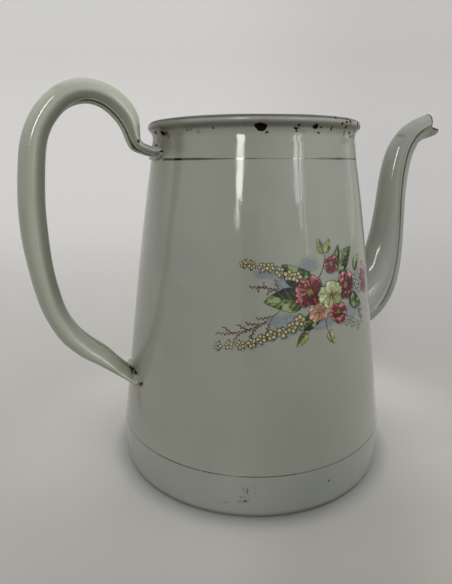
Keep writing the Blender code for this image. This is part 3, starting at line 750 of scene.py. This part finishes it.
for i, (u, v, wide, high, strength) in enumerate((
        (-14, 122, 8, 4.5, 0.8), (-14, 103, 11, 4, 0.85), (22, 103, 9, 5, 0.8), (17, 131, 7, 5, 0.7),
        (3, 101, 9, 3.5, 0.8), (-25, 127, 7, 3, 0.6), (33, 118, 6, 7, 0.8), (-3, 130, 6, 4, 0.6))):
    draw_haze((u, v), wide, high, strength, 40 + i)
draw_sprig((-15, 113), (-49, 97.5), 4.5, 7, 3, 12.5)
draw_sprig((-14, 116), (-33, 120.5), -1.5, 4, 5, 7.0)
draw_sprig((29, 107), (36, 94), 1.5, 4, 8, 5.5)
draw_line((3, 124), (7, 138), -1.4, 0.55, LEAF_GREEN[0])
draw_line((-2, 104), (-6, 94), 0.8, 0.45, LEAF_GREEN[0])
draw_line((6, 102), (9, 93.5), -0.8, 0.45, LEAF_GREEN[0])
for base_u, base_v, tip_u, tip_v, width, bow, tones, seed, lit in (
        (-2, 120, -17.5, 131, 11.5, 1.2, LEAF_DARK, 11, -1),
        (-7, 112, -26.5, 113.5, 11.5, -1.4, LEAF_GREEN, 12, 1),
        (16, 124, 28, 136.5, 9.0, 1.3, LEAF_GREEN, 13, 1),
        (24, 112, 36.5, 104.0, 8.0, -1.0, LEAF_DARK, 14, -1),
        (2, 107, -9, 98.5, 7.5, 1.0, LEAF_DARK, 15, -1),
        (-5.5, 97.5, -10.5, 90.5, 4.6, 0.5, BUD_GREEN, 16, 1),
        (8.0, 96.5, 11.0, 89.0, 4.4, -0.5, BUD_GREEN, 17, 1),
        (6.4, 135, 2.6, 142.6, 4.6, 0.5, BUD_GREEN, 18, 1),
        (7.2, 135, 10.4, 142, 4.4, -0.4, BUD_GREEN, 19, 1),
        (11, 126, 17, 138.5, 6.0, -1.0, LEAF_DARK, 20, 1),
        (30, 124, 38, 131, 6.0, 0.8, LEAF_GREEN, 22, 1)):
    draw_leaf((base_u, base_v), (tip_u, tip_v), width, bow, tones, seed, lit)
draw_spray((-6, 122), (-37, 131.5), -2.2, 7, 2.9, 21)
draw_spray((-4, 106), (-48, 91.5), 2.6, 9, 3.1, 50)
draw_spray((11, 103), (31, 94.5), 0.8, 4, 2.7, 70)
draw_spray((24, 121), (36, 113.5), 0.6, 3, 2.7, 80)
draw_bloom((43.0, 117.5), 6.8, 20, 1.25, WINE, 30)
draw_bloom((11.0, 129.5), 5.8, 100, 0.9, WINE, 31)
draw_bloom((2.6, 107.4), 6.8, 10, 0.85, ROSE, 32)
draw_bloom((21.5, 117.6), 7.8, 54, 1.0, WINE, 33)
draw_bloom((-2.6, 117.0), 8.4, 75, 0.92, BURGUNDY, 34)
draw_bloom((10.4, 114.2), 8.2, 30, 1.0, CREAM, 35, eye=pigment(118, 96, 44), star=pigment(70, 40, 28))
draw_bloom((14.6, 104.6), 6.6, 62, 0.85, BURGUNDY, 36)

cover_near = film_cover.copy()
for shift in (-3, -2, -1, 1, 2, 3):
    for axis in (0, 1):
        cover_near = np.maximum(cover_near, np.roll(film_cover, shift, axis=axis))
cell_kept = cells(cover_near > 0.02).any(axis=-1)
print_heights = print_v * MM
film_profile = pairs(wall_radius(print_heights) + PRINT_PROUD, print_heights)
film_points = turned(film_profile, PRINT_AZIMUTH + print_u * MM / PRINT_RADIUS).reshape(-1, 3)
corners = cells(np.arange(film_cover.size).reshape(film_cover.shape))[cell_kept]
used, corners = np.unique(corners, return_inverse=True)
film = new_piece("flower_print", film_points[used].tolist(), corners.reshape(-1, 4).tolist())
paint = film.data.color_attributes.new("paint", "FLOAT_COLOR", "POINT")
paint.data.foreach_set("color", np.insert(film_colour.reshape(-1, 3)[used], 3, 1.0, axis=-1).ravel())
tag(film, cover=film_cover.ravel()[used])

print_material = bpy.data.materials.new("fired_print")
s = Shading(print_material)
cover = s.tagged("cover") * (0.75 + s.noise(0.5 * MM, 3.0).step(0.24, 0.42) * 0.25)
bump = s.bump(s.noise(*RIPPLE) * 0.55 + s.noise(*DIMPLE) * 0.055)
s.set(Base_Color=s.tagged("paint", "Color"), Alpha=cover, Normal=bump, Roughness=0.12, IOR=1.5)
finish_piece(film, print_material)


# The spout: two pressed halves welded along the flanks. The back half's edge is a low ridge, and dirt
# has gathered in the groove beside it. The front half ends in a pouring lip, chipped at its edge.
SPOUT_FOOT_HEIGHT = 65 * MM
SPOUT_TOP = 209.6 * MM
SPOUT_REACH = 80 * MM
SPOUT_ROOT_WIDTH = 34 * MM
SPOUT_MOUTH_WIDTH = 15 * MM
SPOUT_FLARE_SHARE = 1.85
SEAM_LEAN_SHARE = 0.22
SEAM_RIDGE = 0.60 * MM  # how far the ridge stands up, how far from the edge, and how wide
SEAM_RIDGE_AT = 1.5 * MM
SEAM_RIDGE_WIDTH = 0.8 * MM
EDGE_CURL = 0.30 * MM  # how far a half's very edge curls in
EDGE_ROUND = 0.45 * MM  # of the sheet's enamelled edges
SPOUT_SUNK = 1 * MM  # in the wall
ROOT_SPREAD = 2.6 * MM  # of the fillet on the wall
ROOT_SUNK = 0.12 * MM  # of the fillet's upper edge, in the spout's enamel
ROOT_ROW = 5  # of the spout's mesh, where that edge is
# The spout's enamel is a slightly darker copy of the wall's: painted shade.
SPOUT_TINT = (0.95, 0.97, 0.99)
SPOUT_RIB_SHARES = (  # out and up of the front's middle line, then of the back's
    (0.225, 0.000, 0.168, 0.238), (0.362, 0.030, 0.246, 0.278), (0.487, 0.072, 0.312, 0.328),
    (0.577, 0.122, 0.352, 0.380), (0.639, 0.186, 0.382, 0.428), (0.677, 0.270, 0.406, 0.490),
    (0.689, 0.384, 0.427, 0.570), (0.682, 0.527, 0.440, 0.648), (0.679, 0.642, 0.452, 0.720),
    (0.691, 0.731, 0.474, 0.790), (0.716, 0.806, 0.520, 0.862), (0.755, 0.855, 0.615, 0.930),
    (0.785, 0.873, 0.733, 0.972), (0.820, 0.885, 0.868, 1.000),
)
LIP_RIB_SHARES = (  # out and up of the lip's middle line, then of its edge, and share of the width
    (0.820, 0.885, 0.844, 0.9425, 1.0), (0.887, 0.895, 0.887, 0.937, 0.96),
    (0.948, 0.906, 0.938, 0.933, 0.78), (0.985, 0.920, 0.980, 0.929, 0.32),
)
SPOUT_SOILS = ((104.9, 195.8, 2.2, 1.4, 1.0), (103.2, 194.8, 1.5, 1.0, 0.6), (132.5, 200.5, 4.0, 1.5, 0.6),
               (127.0, 199.0, 5.0, 1.0, 0.5))


def prolonged(rows, last=1):
    """The rows with the first one once more, and the last one too unless last is 0."""
    return np.pad(rows, ((1, last), (0, 0)), mode="edge")


def smoothed(rows, steps):
    """Curve through every row of numbers, with steps in each span, as a Catmull-Rom spline."""
    rows = np.asarray(rows)
    a, b, c, d = [prolonged(rows)[i:len(rows) + i - 1] for i in range(4)]
    t = (np.arange(steps) / steps)[:, None, None]
    spans = (b + t * (c - a) / 2 + t ** 2 * (a - 2.5 * b + 2 * c - d / 2)
             + t ** 3 * (1.5 * (b - c) + (d - a) / 2))
    return np.concatenate([spans.transpose(1, 0, 2).reshape(-1, rows.shape[1]), rows[-1:]])


def placed(shares, reach, low_end, high_end):
    """Two lines in the plane of symmetry, as distances from the axis and heights, of four shares."""
    out, up = NECK_RADIUS + reach * shares, low_end + (high_end - low_end) * shares
    return [pairs(out[:, i], up[:, i + 1]) for i in (0, 2)]


def outward_of(grid):
    """Unit normals of a grid: rows' way crossed with columns' way."""
    normal = np.cross(np.gradient(grid, axis=1), np.gradient(grid, axis=0))
    return normal / np.maximum(np.linalg.norm(normal, axis=-1, keepdims=True), 1e-12)


def from_edges(grid):
    """Length along each row from a point to the nearer end of its row."""
    steps = np.linalg.norm(np.diff(grid, axis=1), axis=-1)
    length = np.concatenate([np.zeros((len(grid), 1)), np.cumsum(steps, axis=1)], axis=1)
    return np.minimum(length, length[:, -1:] - length)


def bent_sheet(centre, crest, heel, half_width, spread, steps, side, skew=0):
    """Grid of a sheet bent over a crest, facing outwards: each row is an oval arc from -spread to
    +spread degrees with the crest at 0, the flanks at 90 and the heel at 180. Both ends of the arc are
    skewed round by some degrees."""
    share = np.linspace(-1, 1, steps)[None, :]
    angle = (share * spread[:, None] + share ** 2 * np.reshape(skew, (-1, 1))) * DEGREE
    peak = np.where((np.cos(angle) > 0)[..., None], crest[:, None], heel[:, None])
    flat = centre[:, None] + (peak - centre[:, None]) * np.abs(np.cos(angle))[..., None]
    grid = np.stack([side * flat[..., 0], half_width[:, None] * np.sin(angle), flat[..., 1]], axis=-1)
    middle = np.stack([side * centre[:, 0], 0 * half_width, centre[:, 1]], axis=-1)[:, None]
    faces_in = np.einsum("ijk,ijk->", outward_of(grid), grid - middle) < 0
    return grid[:, ::-1] if faces_in else grid


def onto_wall(grid, side, depth):
    """The points moved level until they lie a depth under the wall's outside."""
    out = np.sqrt((wall_radius(grid[..., 2]) - depth) ** 2 - grid[..., 1] ** 2)
    return np.stack([side * out, grid[..., 1], grid[..., 2]], axis=-1)


def thicken(piece):
    """Gives a bent sheet its thickness, inwards, and rounds its cut edges."""
    wall_thickness = piece.modifiers.new("sheet", "SOLIDIFY")
    wall_thickness.thickness, wall_thickness.offset, wall_thickness.use_even_offset = SHEET, -1, True
    rounding = piece.modifiers.new("rounding", "BEVEL")
    rounding.width, rounding.segments = EDGE_ROUND, 3
    rounding.limit_method, rounding.angle_limit = "ANGLE", 55 * DEGREE


spout_shares, lip_shares = smoothed(SPOUT_RIB_SHARES, 12), smoothed(LIP_RIB_SHARES, 8)[1:]
front_line, back_line = placed(spout_shares, SPOUT_REACH, SPOUT_FOOT_HEIGHT, SPOUT_TOP)
lip_crest, lip_seam = placed(lip_shares, SPOUT_REACH, SPOUT_FOOT_HEIGHT, SPOUT_TOP)
left_to_go = 1 - np.linspace(0, 1, len(spout_shares))
spout_width = SPOUT_MOUTH_WIDTH + (SPOUT_ROOT_WIDTH - SPOUT_MOUTH_WIDTH) * left_to_go ** SPOUT_FLARE_SHARE
seam_line = front_line + (back_line - front_line) * (0.5 - SEAM_LEAN_SHARE * left_to_go ** 2)[:, None]
front_width = np.concatenate([spout_width, lip_shares[:, 4] * SPOUT_MOUTH_WIDTH])

spout_grids = []
for name, crest, seam, width in (
        ("spout_front_half", np.concatenate([front_line, lip_crest]),
         np.concatenate([seam_line, lip_seam]), front_width),
        ("spout_back_half", back_line, seam_line, spout_width)):
    in_front = name == "spout_front_half"
    spread = 90 - np.degrees(np.arcsin(0.1 * MM / np.linalg.norm(seam - crest, axis=-1)))
    grid = bent_sheet(seam, crest, crest, width / 2, spread, 61, 1)
    edge = from_edges(grid)
    rolled = -EDGE_CURL * step(edge, 0.7 * MM, 0)
    if not in_front:
        rolled += SEAM_RIDGE * np.exp(-((edge - SEAM_RIDGE_AT) / SEAM_RIDGE_WIDTH) ** 2)
    rows = np.arange(len(grid))[:, None]
    fade = step(rows, 0, 14) * step(rows, len(grid), len(grid) - 8)
    grid = grid + outward_of(grid) * (rolled * fade)[..., None]
    spout_grids.append(grid)
    grid = np.concatenate([onto_wall(grid[:1], 1, SPOUT_SUNK), grid])
    to_mouth = np.linalg.norm(grid - grid[-1:], axis=-1) / MM - 0.7
    to_lip_edge = np.where(rows > len(spout_shares), edge / MM - 0.85, UNCHIPPED)
    to_rim = np.minimum(to_mouth, prolonged(to_lip_edge, last=0))
    seam_dirt = step(edge, 1.25 * MM, 0.55 * MM) * step(rows, 8, 26)
    lip_wear = 0.4 * step(rows, len(spout_shares) - 2, len(spout_shares) + 3)
    half = lay(name + "_enamelled", grid, columns_join=False)
    x, y, z = vertices(half)
    # Low on the front half, by the root, the enamel is darkened: painted shade.
    tag(half, chip=to_rim.ravel(), worn=prolonged(np.maximum(seam_dirt, lip_wear), last=0).ravel(),
        grime=step(z, 108 * MM, 90 * MM) * 0.3 * in_front,
        soil=np.where(y < 0, soiling(x, z, SPOUT_SOILS), 0.0))
    thicken(half)
    finish_piece(half, enamel(name + "_enamel", tint=SPOUT_TINT, gloss=0.09), name)


def corner_fillet(tube, ring, side, spread):
    """Grid of the enamel that fills the corner between a tube and the wall: for each of the tube's
    points, a curve that leaves it along the tube and comes down on the wall, spread outside the ring."""
    centre = ring.mean(axis=0)
    outward = (ring - centre) * (0, 1, 1)
    outward /= np.linalg.norm(outward, axis=-1, keepdims=True)
    foot = onto_wall(ring + outward * spread, side, 0)
    t = np.linspace(0, 1, 9)[:, None, None]
    curve = (1 - t) ** 2 * tube + 2 * t * (1 - t) * ring + t ** 2 * foot
    buried = onto_wall(foot + outward * 0.3 * MM, side, 0.7 * MM)
    return np.concatenate([curve, buried[None]])


root_tube = np.concatenate([(grid - outward_of(grid) * ROOT_SUNK)[ROOT_ROW, 1:-1] for grid in spout_grids])
root_ring = onto_wall(np.concatenate([grid[0, 1:-1] for grid in spout_grids]), 1, 0)
root_fillet = lay("spout_root_fillet", corner_fillet(root_tube, root_ring, 1, ROOT_SPREAD), ends=True)
tag(root_fillet, chip=UNCHIPPED)
finish_piece(root_fillet, enamel("root_enamel", tint=SPOUT_TINT))


# The handle: a tube rolled from sheet with its seam left open on the inner side, the edges turned in.
# It is spread flat at both ends, where it is brazed to plates on the wall and enamelled over.
HANDLE_REACH = 70.5 * MM
HANDLE_TOP = 218.83 * MM
HANDLE_FOOT_HEIGHT = 58.5 * MM
TANG_WIDTH = 24.5 * MM
GRIP_WIDTH = 16.5 * MM
TAIL_WIDTH = 31 * MM
GRIP_SLIT = 2.2 * MM
TANG_SLIT = 14 * MM
TAIL_SLIT = 5 * MM
TANG_SPREAD_SHARE = 0.22
TAIL_SPREAD_SHARE = 0.28
TAIL_LEAN_SHARE = 0.15
SLIT_SKEW = 20  # degrees that the slit is off the middle under the arch
TURNED_IN = 1.1 * MM  # how far the slit's edges are turned in, over how much sheet
TURNED_OVER = 2.6 * MM
HANDLE_SUNK = 0.8 * MM  # of its ends, in the wall
HANDLE_RIB_SHARES = (  # out and up of the outer middle line, then of the inner one, from the tang down
    (0.021, 0.803, 0.032, 0.765), (0.064, 0.808, 0.084, 0.774), (0.101, 0.821, 0.155, 0.787),
    (0.101, 0.844, 0.194, 0.808), (0.104, 0.892, 0.238, 0.855), (0.158, 0.937, 0.294, 0.889),
    (0.262, 0.976, 0.367, 0.915), (0.389, 0.997, 0.442, 0.926), (0.524, 0.999, 0.517, 0.924),
    (0.659, 0.978, 0.592, 0.910), (0.779, 0.936, 0.656, 0.883), (0.877, 0.876, 0.713, 0.847),
    (0.941, 0.804, 0.754, 0.800), (0.975, 0.717, 0.782, 0.720), (0.998, 0.614, 0.802, 0.617),
    (0.999, 0.521, 0.803, 0.521), (0.982, 0.434, 0.795, 0.430), (0.952, 0.343, 0.769, 0.345),
    (0.904, 0.256, 0.723, 0.259), (0.812, 0.167, 0.646, 0.195), (0.680, 0.100, 0.545, 0.147),
    (0.538, 0.056, 0.443, 0.106), (0.404, 0.015, 0.350, 0.056), (0.297, -0.018, 0.272, 0.020),
)
HANDLE_SOILS = ((-76.5, 186.0, 5.0, 3.0, 0.6), (-106.0, 213.5, 2.6, 1.4, 0.45),
                (-90.0, 66.0, 12.0, 2.0, 0.4), (-80.0, 62.0, 3.0, 4.0, 0.6))
HANDLE_CHIPS = ((-68.8, 189.1, 0.5, 0.8), (-63.0, 187.6, 1.2, 0.3), (-57.4, 184.9, 0.7, 0.6),
                (-78.6, 62.0, 0.8, 0.6), (-77.8, 61.4, 0.7, 0.8))

handle_shares = smoothed(HANDLE_RIB_SHARES, 12)
outer_line, inner_line = placed(handle_shares, HANDLE_REACH, HANDLE_FOOT_HEIGHT, HANDLE_TOP)
along = np.linspace(0, 1, len(handle_shares))
tang = np.clip(1 - along / TANG_SPREAD_SHARE, 0, 1) ** 2
tail = np.clip(1 - (1 - along) / TAIL_SPREAD_SHARE, 0, 1) ** 2
grip = 1 - tang - tail
flank_line = outer_line + (inner_line - outer_line) * (0.5 - TAIL_LEAN_SHARE * tail)[:, None]
handle_width = TANG_WIDTH * tang + GRIP_WIDTH * grip + TAIL_WIDTH * tail
handle_slit = TANG_SLIT * tang + GRIP_SLIT * grip + TAIL_SLIT * tail
handle_spread = 180 - np.degrees(np.arcsin(handle_slit / handle_width))
slit_skew = SLIT_SKEW * step(along, 0.02, 0.12) * step(along, 0.44, 0.30)
handle_grid = bent_sheet(flank_line, outer_line, inner_line, handle_width / 2, handle_spread, 121, -1,
                         slit_skew)
edge = from_edges(handle_grid)
turned_in = -TURNED_IN * step(edge, TURNED_OVER, 0) ** 1.5
handle_grid = handle_grid + outward_of(handle_grid) * turned_in[..., None]
top_end, foot_end = [onto_wall(handle_grid[rows], -1, HANDLE_SUNK) for rows in (slice(1), slice(-1, None))]
handle_grid = np.concatenate([top_end, handle_grid, foot_end])
handle = lay("handle_enamelled", handle_grid, columns_join=False)
x, y, z = vertices(handle)
edge, along = prolonged(edge), prolonged(along[:, None])
in_slit = step(edge, 0.7 * MM, 0.0)
# Painted shade: darker on the tube's inner flank from the top down the grip, and on its side turned away
# from the pot lower down.
inner_flank = step(np.abs(np.linspace(-1, 1, handle_grid.shape[1])) * 180, 96, 122)
inner_flank = inner_flank * step(along, 0.84, 0.72) * step(edge, 0.8 * TURNED_OVER, 1.3 * TURNED_OVER)
outer_side = step(-outward_of(handle_grid)[..., 0], -0.1, 0.8) * step(along, 0.42, 0.56)
mark(handle, y < 0, x, z, HANDLE_CHIPS, HANDLE_SOILS, worn=in_slit.ravel() * 0.5,
     grime=np.maximum(inner_flank * 0.6, outer_side * 0.4).ravel())
thicken(handle)
# The handle's enamel is a much lighter copy of the wall's: painted light.
handle_enamel = enamel("handle_enamel", tint=(1.40, 1.40, 1.37), gloss=0.05, index=1.66)
finish_piece(handle, handle_enamel, "handle_tube")


# The handle's feet: plates with rounded ends, pressed to the wall's curve, brazed on and enamelled
# over. Their edges are chipped and rusty.
FOOT_THICKNESS = 1.55 * MM
SADDLE_POWER = 2.6
FEET = (  # name, height, width, rise, chips
    ("handle_upper_foot", 182.9 * MM, 26.6 * MM, 6.6 * MM,
     ((12.6, 184.6, 0.9, 0.9), (10.0, 186.0, 1.0, 0.3))),
    ("handle_lower_foot", 57.8 * MM, 36 * MM, 7.8 * MM,
     ((16.9, 58.0, 0.5, 0.6), (18.2, 59.0, 0.6, 1.7), (8.2, 61.3, 2.3, 0.8), (3.0, 61.4, 2.4, 0.6),
      (12.4, 61.4, 0.9, 0.4), (-1.6, 61.2, 1.5, 0.4))),
)


def saddle(height, width, rise):
    """Grid of a plate on the wall. Round a superellipse and out from its middle, its thickness falls
    from full to nothing over the last tenth, and the last ring is buried in the wall."""
    around = np.linspace(0, 2 * np.pi, 96, endpoint=False)
    cosine, sine = np.cos(around), np.sin(around)
    reach = (np.abs(cosine) ** SADDLE_POWER + np.abs(sine) ** SADDLE_POWER) ** (-1 / SADDLE_POWER)
    inset = np.array([7.0, 3.0, 1.6, 1.0, 0.6, 0.3, 0.1, 0.0, 0.0, -0.15]) * MM
    off = np.array([1.0, 1.0, 1.0, 0.98, 0.9, 0.72, 0.48, 0.2, -0.1, -0.5]) * FOOT_THICKNESS
    y = np.maximum(width / 2 - inset, 0.1 * width)[:, None] * (reach * cosine)[None]
    z = height + np.maximum(rise / 2 - inset, 0.1 * rise)[:, None] * (reach * sine)[None]
    return onto_wall(np.stack([0 * y, y, z], axis=-1), -1, -off[:, None])


for name, height, width, rise, chips in FEET:
    foot = lay(name + "_enamelled", saddle(height, width, rise), ends=True)
    x, y, z = vertices(foot)
    tag(foot, chip=chip_edge(-y, z, chips), soil=np.where(np.abs(y) > width / 2 - 5 * MM, 0.55, 0.2))
    finish_piece(foot, enamel(name + "_enamel"), name)


# The room: a pale table that runs up into a pale wall, narrow window lights behind the camera, two soft
# ceiling lights behind the pot, and the telephone.
# The paper's colours hold painted light and shade: on the table, darker at the front on the left, warmer
# near the front and darker further back on the right, lighter beside the pot, with painted shadows under
# the pot and under the lens; the wall is lighter on the left and higher up.
NEAR_FLOOR, FAR_FLOOR, FLOOR_BY_POT = (0.375, 0.365, 0.342), (0.43, 0.42, 0.395), (0.51, 0.50, 0.47)
LENS_SHADE = (0.20, 0.197, 0.187)  # on the table under the lens
CONTACT_SHADE = (0.12, 0.12, 0.118)  # under the pot
RIGHT_FLOOR_COLOURS = ((0.425, 0.41, 0.367), (0.365, 0.355, 0.335))  # near and far
BEND_COLOURS = ((0.59, 0.58, 0.565), (0.50, 0.49, 0.48))  # on the left and the right
BACKDROP_COLOURS = ((0.725, 0.715, 0.70), (0.65, 0.635, 0.62))
BEND_FROM, BEND_RADIUS = 0.75, 0.5
FLOOR_FROM, WALL_TOP, HALF_ROOM = -3.0, 3.0, 4.0
ROOM_GLOWS = (  # bright parts of the room: azimuth, elevation, sharpness, strength
    (-162, 10, 4, 0.60), (-65, 15, 4, 1.14), (-15, 20, 4, 0.64), (150, 20, 4, 0.45), (65, 60, 2, 0.84),
)
TELEPHONE = ((-42 * MM, -126 * MM), (28 * MM, 30 * MM), 9 * MM)  # corners seen from the lens, and thickness
LIGHTS_AIM = (0, 0, 0.17)
WINDOW_DISTANCE, CEILING_DISTANCE = 2.2, 2.4
WINDOWS = (  # name, azimuth, elevation, width, height, radiance
    ("window_high", -128, 27.5, 0.27, 1.05, 14.5), ("window_low", -129.5, 12, 0.10, 0.15, 8.5),
    ("side_window_left", -69.6, 20.5, 0.12, 0.62, 5.9), ("side_window_right", -64.6, 20.5, 0.10, 0.62, 5.5),
    ("side_window_foot", -66.0, 10, 0.13, 0.2, 2.3), ("window_frame", -61.2, 11.5, 0.055, 0.75, 2.0),
    ("bright_table", 5, 4, 0.75, 0.45, 0.5),
)
CEILINGS = (("ceiling_left", 130, 50, 1.6, 1.6, 2.1), ("ceiling_right", 5, 50, 1.6, 1.6, 1.95))


def make_backdrop():
    """Sheet that lies flat and bends up into a wall behind the pot, seen from the camera."""
    away, aside = towards(heading), towards(heading - 90)
    profile = [(FLOOR_FROM, 0.0), *arc((BEND_FROM, BEND_RADIUS), BEND_RADIUS, -90, 0, 16),
               (BEND_FROM + BEND_RADIUS, WALL_TOP)]
    grid = np.array([[away * out + aside * across + (0, 0, up) for across in (-HALF_ROOM, HALF_ROOM)]
                     for out, up in profile])
    backdrop = lay("backdrop", grid, columns_join=False)
    paper = bpy.data.materials.new("pale_paper")
    s = Shading(paper)
    distance, sideways, height = s.along(away), s.along(aside), s.along((0, 0, 1))
    off_middle = s.node("VectorMath", (s.place,), "Value", operation="LENGTH")
    # Painted light and shade on the table, then on the wall, as listed with their colours.
    right_table = s.mix(distance.step(-0.05, 0.15), *RIGHT_FLOOR_COLOURS)
    left_table = s.mix(distance.step(-0.14, -0.05), NEAR_FLOOR, FAR_FLOOR)
    table = s.mix(sideways.step(-0.05, 0.12), left_table, right_table)
    table = s.mix(off_middle.step(0.19, 0.11) * distance.step(-0.10, -0.02), table, FLOOR_BY_POT)
    table = s.mix(off_middle.step(0.094, 0.080) * 0.5, table, CONTACT_SHADE)
    by_lens = distance.step(-0.085, -0.23) * sideways.step(-0.20, -0.02) * sideways.step(0.29, 0.08)
    table = s.mix(by_lens, table, LENS_SHADE)
    across = sideways.step(-0.1, 0.45)
    low_wall, high_wall = [s.mix(across, *colours) for colours in (BEND_COLOURS, BACKDROP_COLOURS)]
    behind = s.mix(height.step(0.0, 0.6), low_wall, high_wall)
    s.set(Base_Color=s.mix(distance.step(0.0, 1.1), table, behind), Roughness=0.8)
    backdrop.data.materials.append(paper)


def make_light(name, azimuth, elevation, width, height, radiance, distance=WINDOW_DISTANCE, mirrored=True):
    """Rectangular light that faces the pot's middle from an azimuth and elevation in degrees. Enamel
    mirrors it unless it stands for the light of a whole ceiling."""
    lamp = bpy.data.lights.new(name, "AREA")
    lamp.shape = "RECTANGLE"
    lamp.size, lamp.size_y = width, height
    lamp.energy = radiance * np.pi * width * height
    light = bpy.data.objects.new(name, lamp)
    way = towards(azimuth, elevation)
    light.location = way * distance + LIGHTS_AIM
    light.rotation_euler = Vector(way).to_track_quat("Z", "Y").to_euler()
    light.visible_glossy = mirrored
    bpy.context.scene.collection.objects.link(light)


def make_telephone():
    """The telephone that takes the picture, which the pot's front mirrors. No camera sees it."""
    (left, low), (right_side, top), thickness = TELEPHONE
    points = [eye + right * x + above * y - forward * z for z in (1 * MM, 1 * MM + thickness)
              for x, y in ((left, low), (right_side, low), (right_side, top), (left, top))]
    faces = [(0, 1, 2, 3), (7, 6, 5, 4), (4, 5, 1, 0), (5, 6, 2, 1), (6, 7, 3, 2), (7, 4, 0, 3)]
    telephone = new_piece("telephone", [tuple(point) for point in points], faces, smooth=False)
    glass = bpy.data.materials.new("telephone_back")
    Shading(glass).set(Base_Color=(0.05, 0.05, 0.055, 1), Roughness=0.4)
    telephone.data.materials.append(glass)
    telephone.visible_camera = False


make_backdrop()
make_telephone()
for window in WINDOWS:
    make_light(*window)
for ceiling in CEILINGS:
    make_light(*ceiling, distance=CEILING_DISTANCE, mirrored=False)
world = bpy.data.worlds.new("room")
s = Shading(world, "Background", "Generated")
glow = 0.0
for azimuth, elevation, power, strength in ROOM_GLOWS:
    glow = glow + s.along(towards(azimuth, elevation)).most(0.0).math("POWER", power) * strength
s.set(Color=(0.98, 0.99, 1.0, 1), Strength=glow)
bpy.context.scene.world = world
bpy.context.scene.view_settings.view_transform = "Standard"
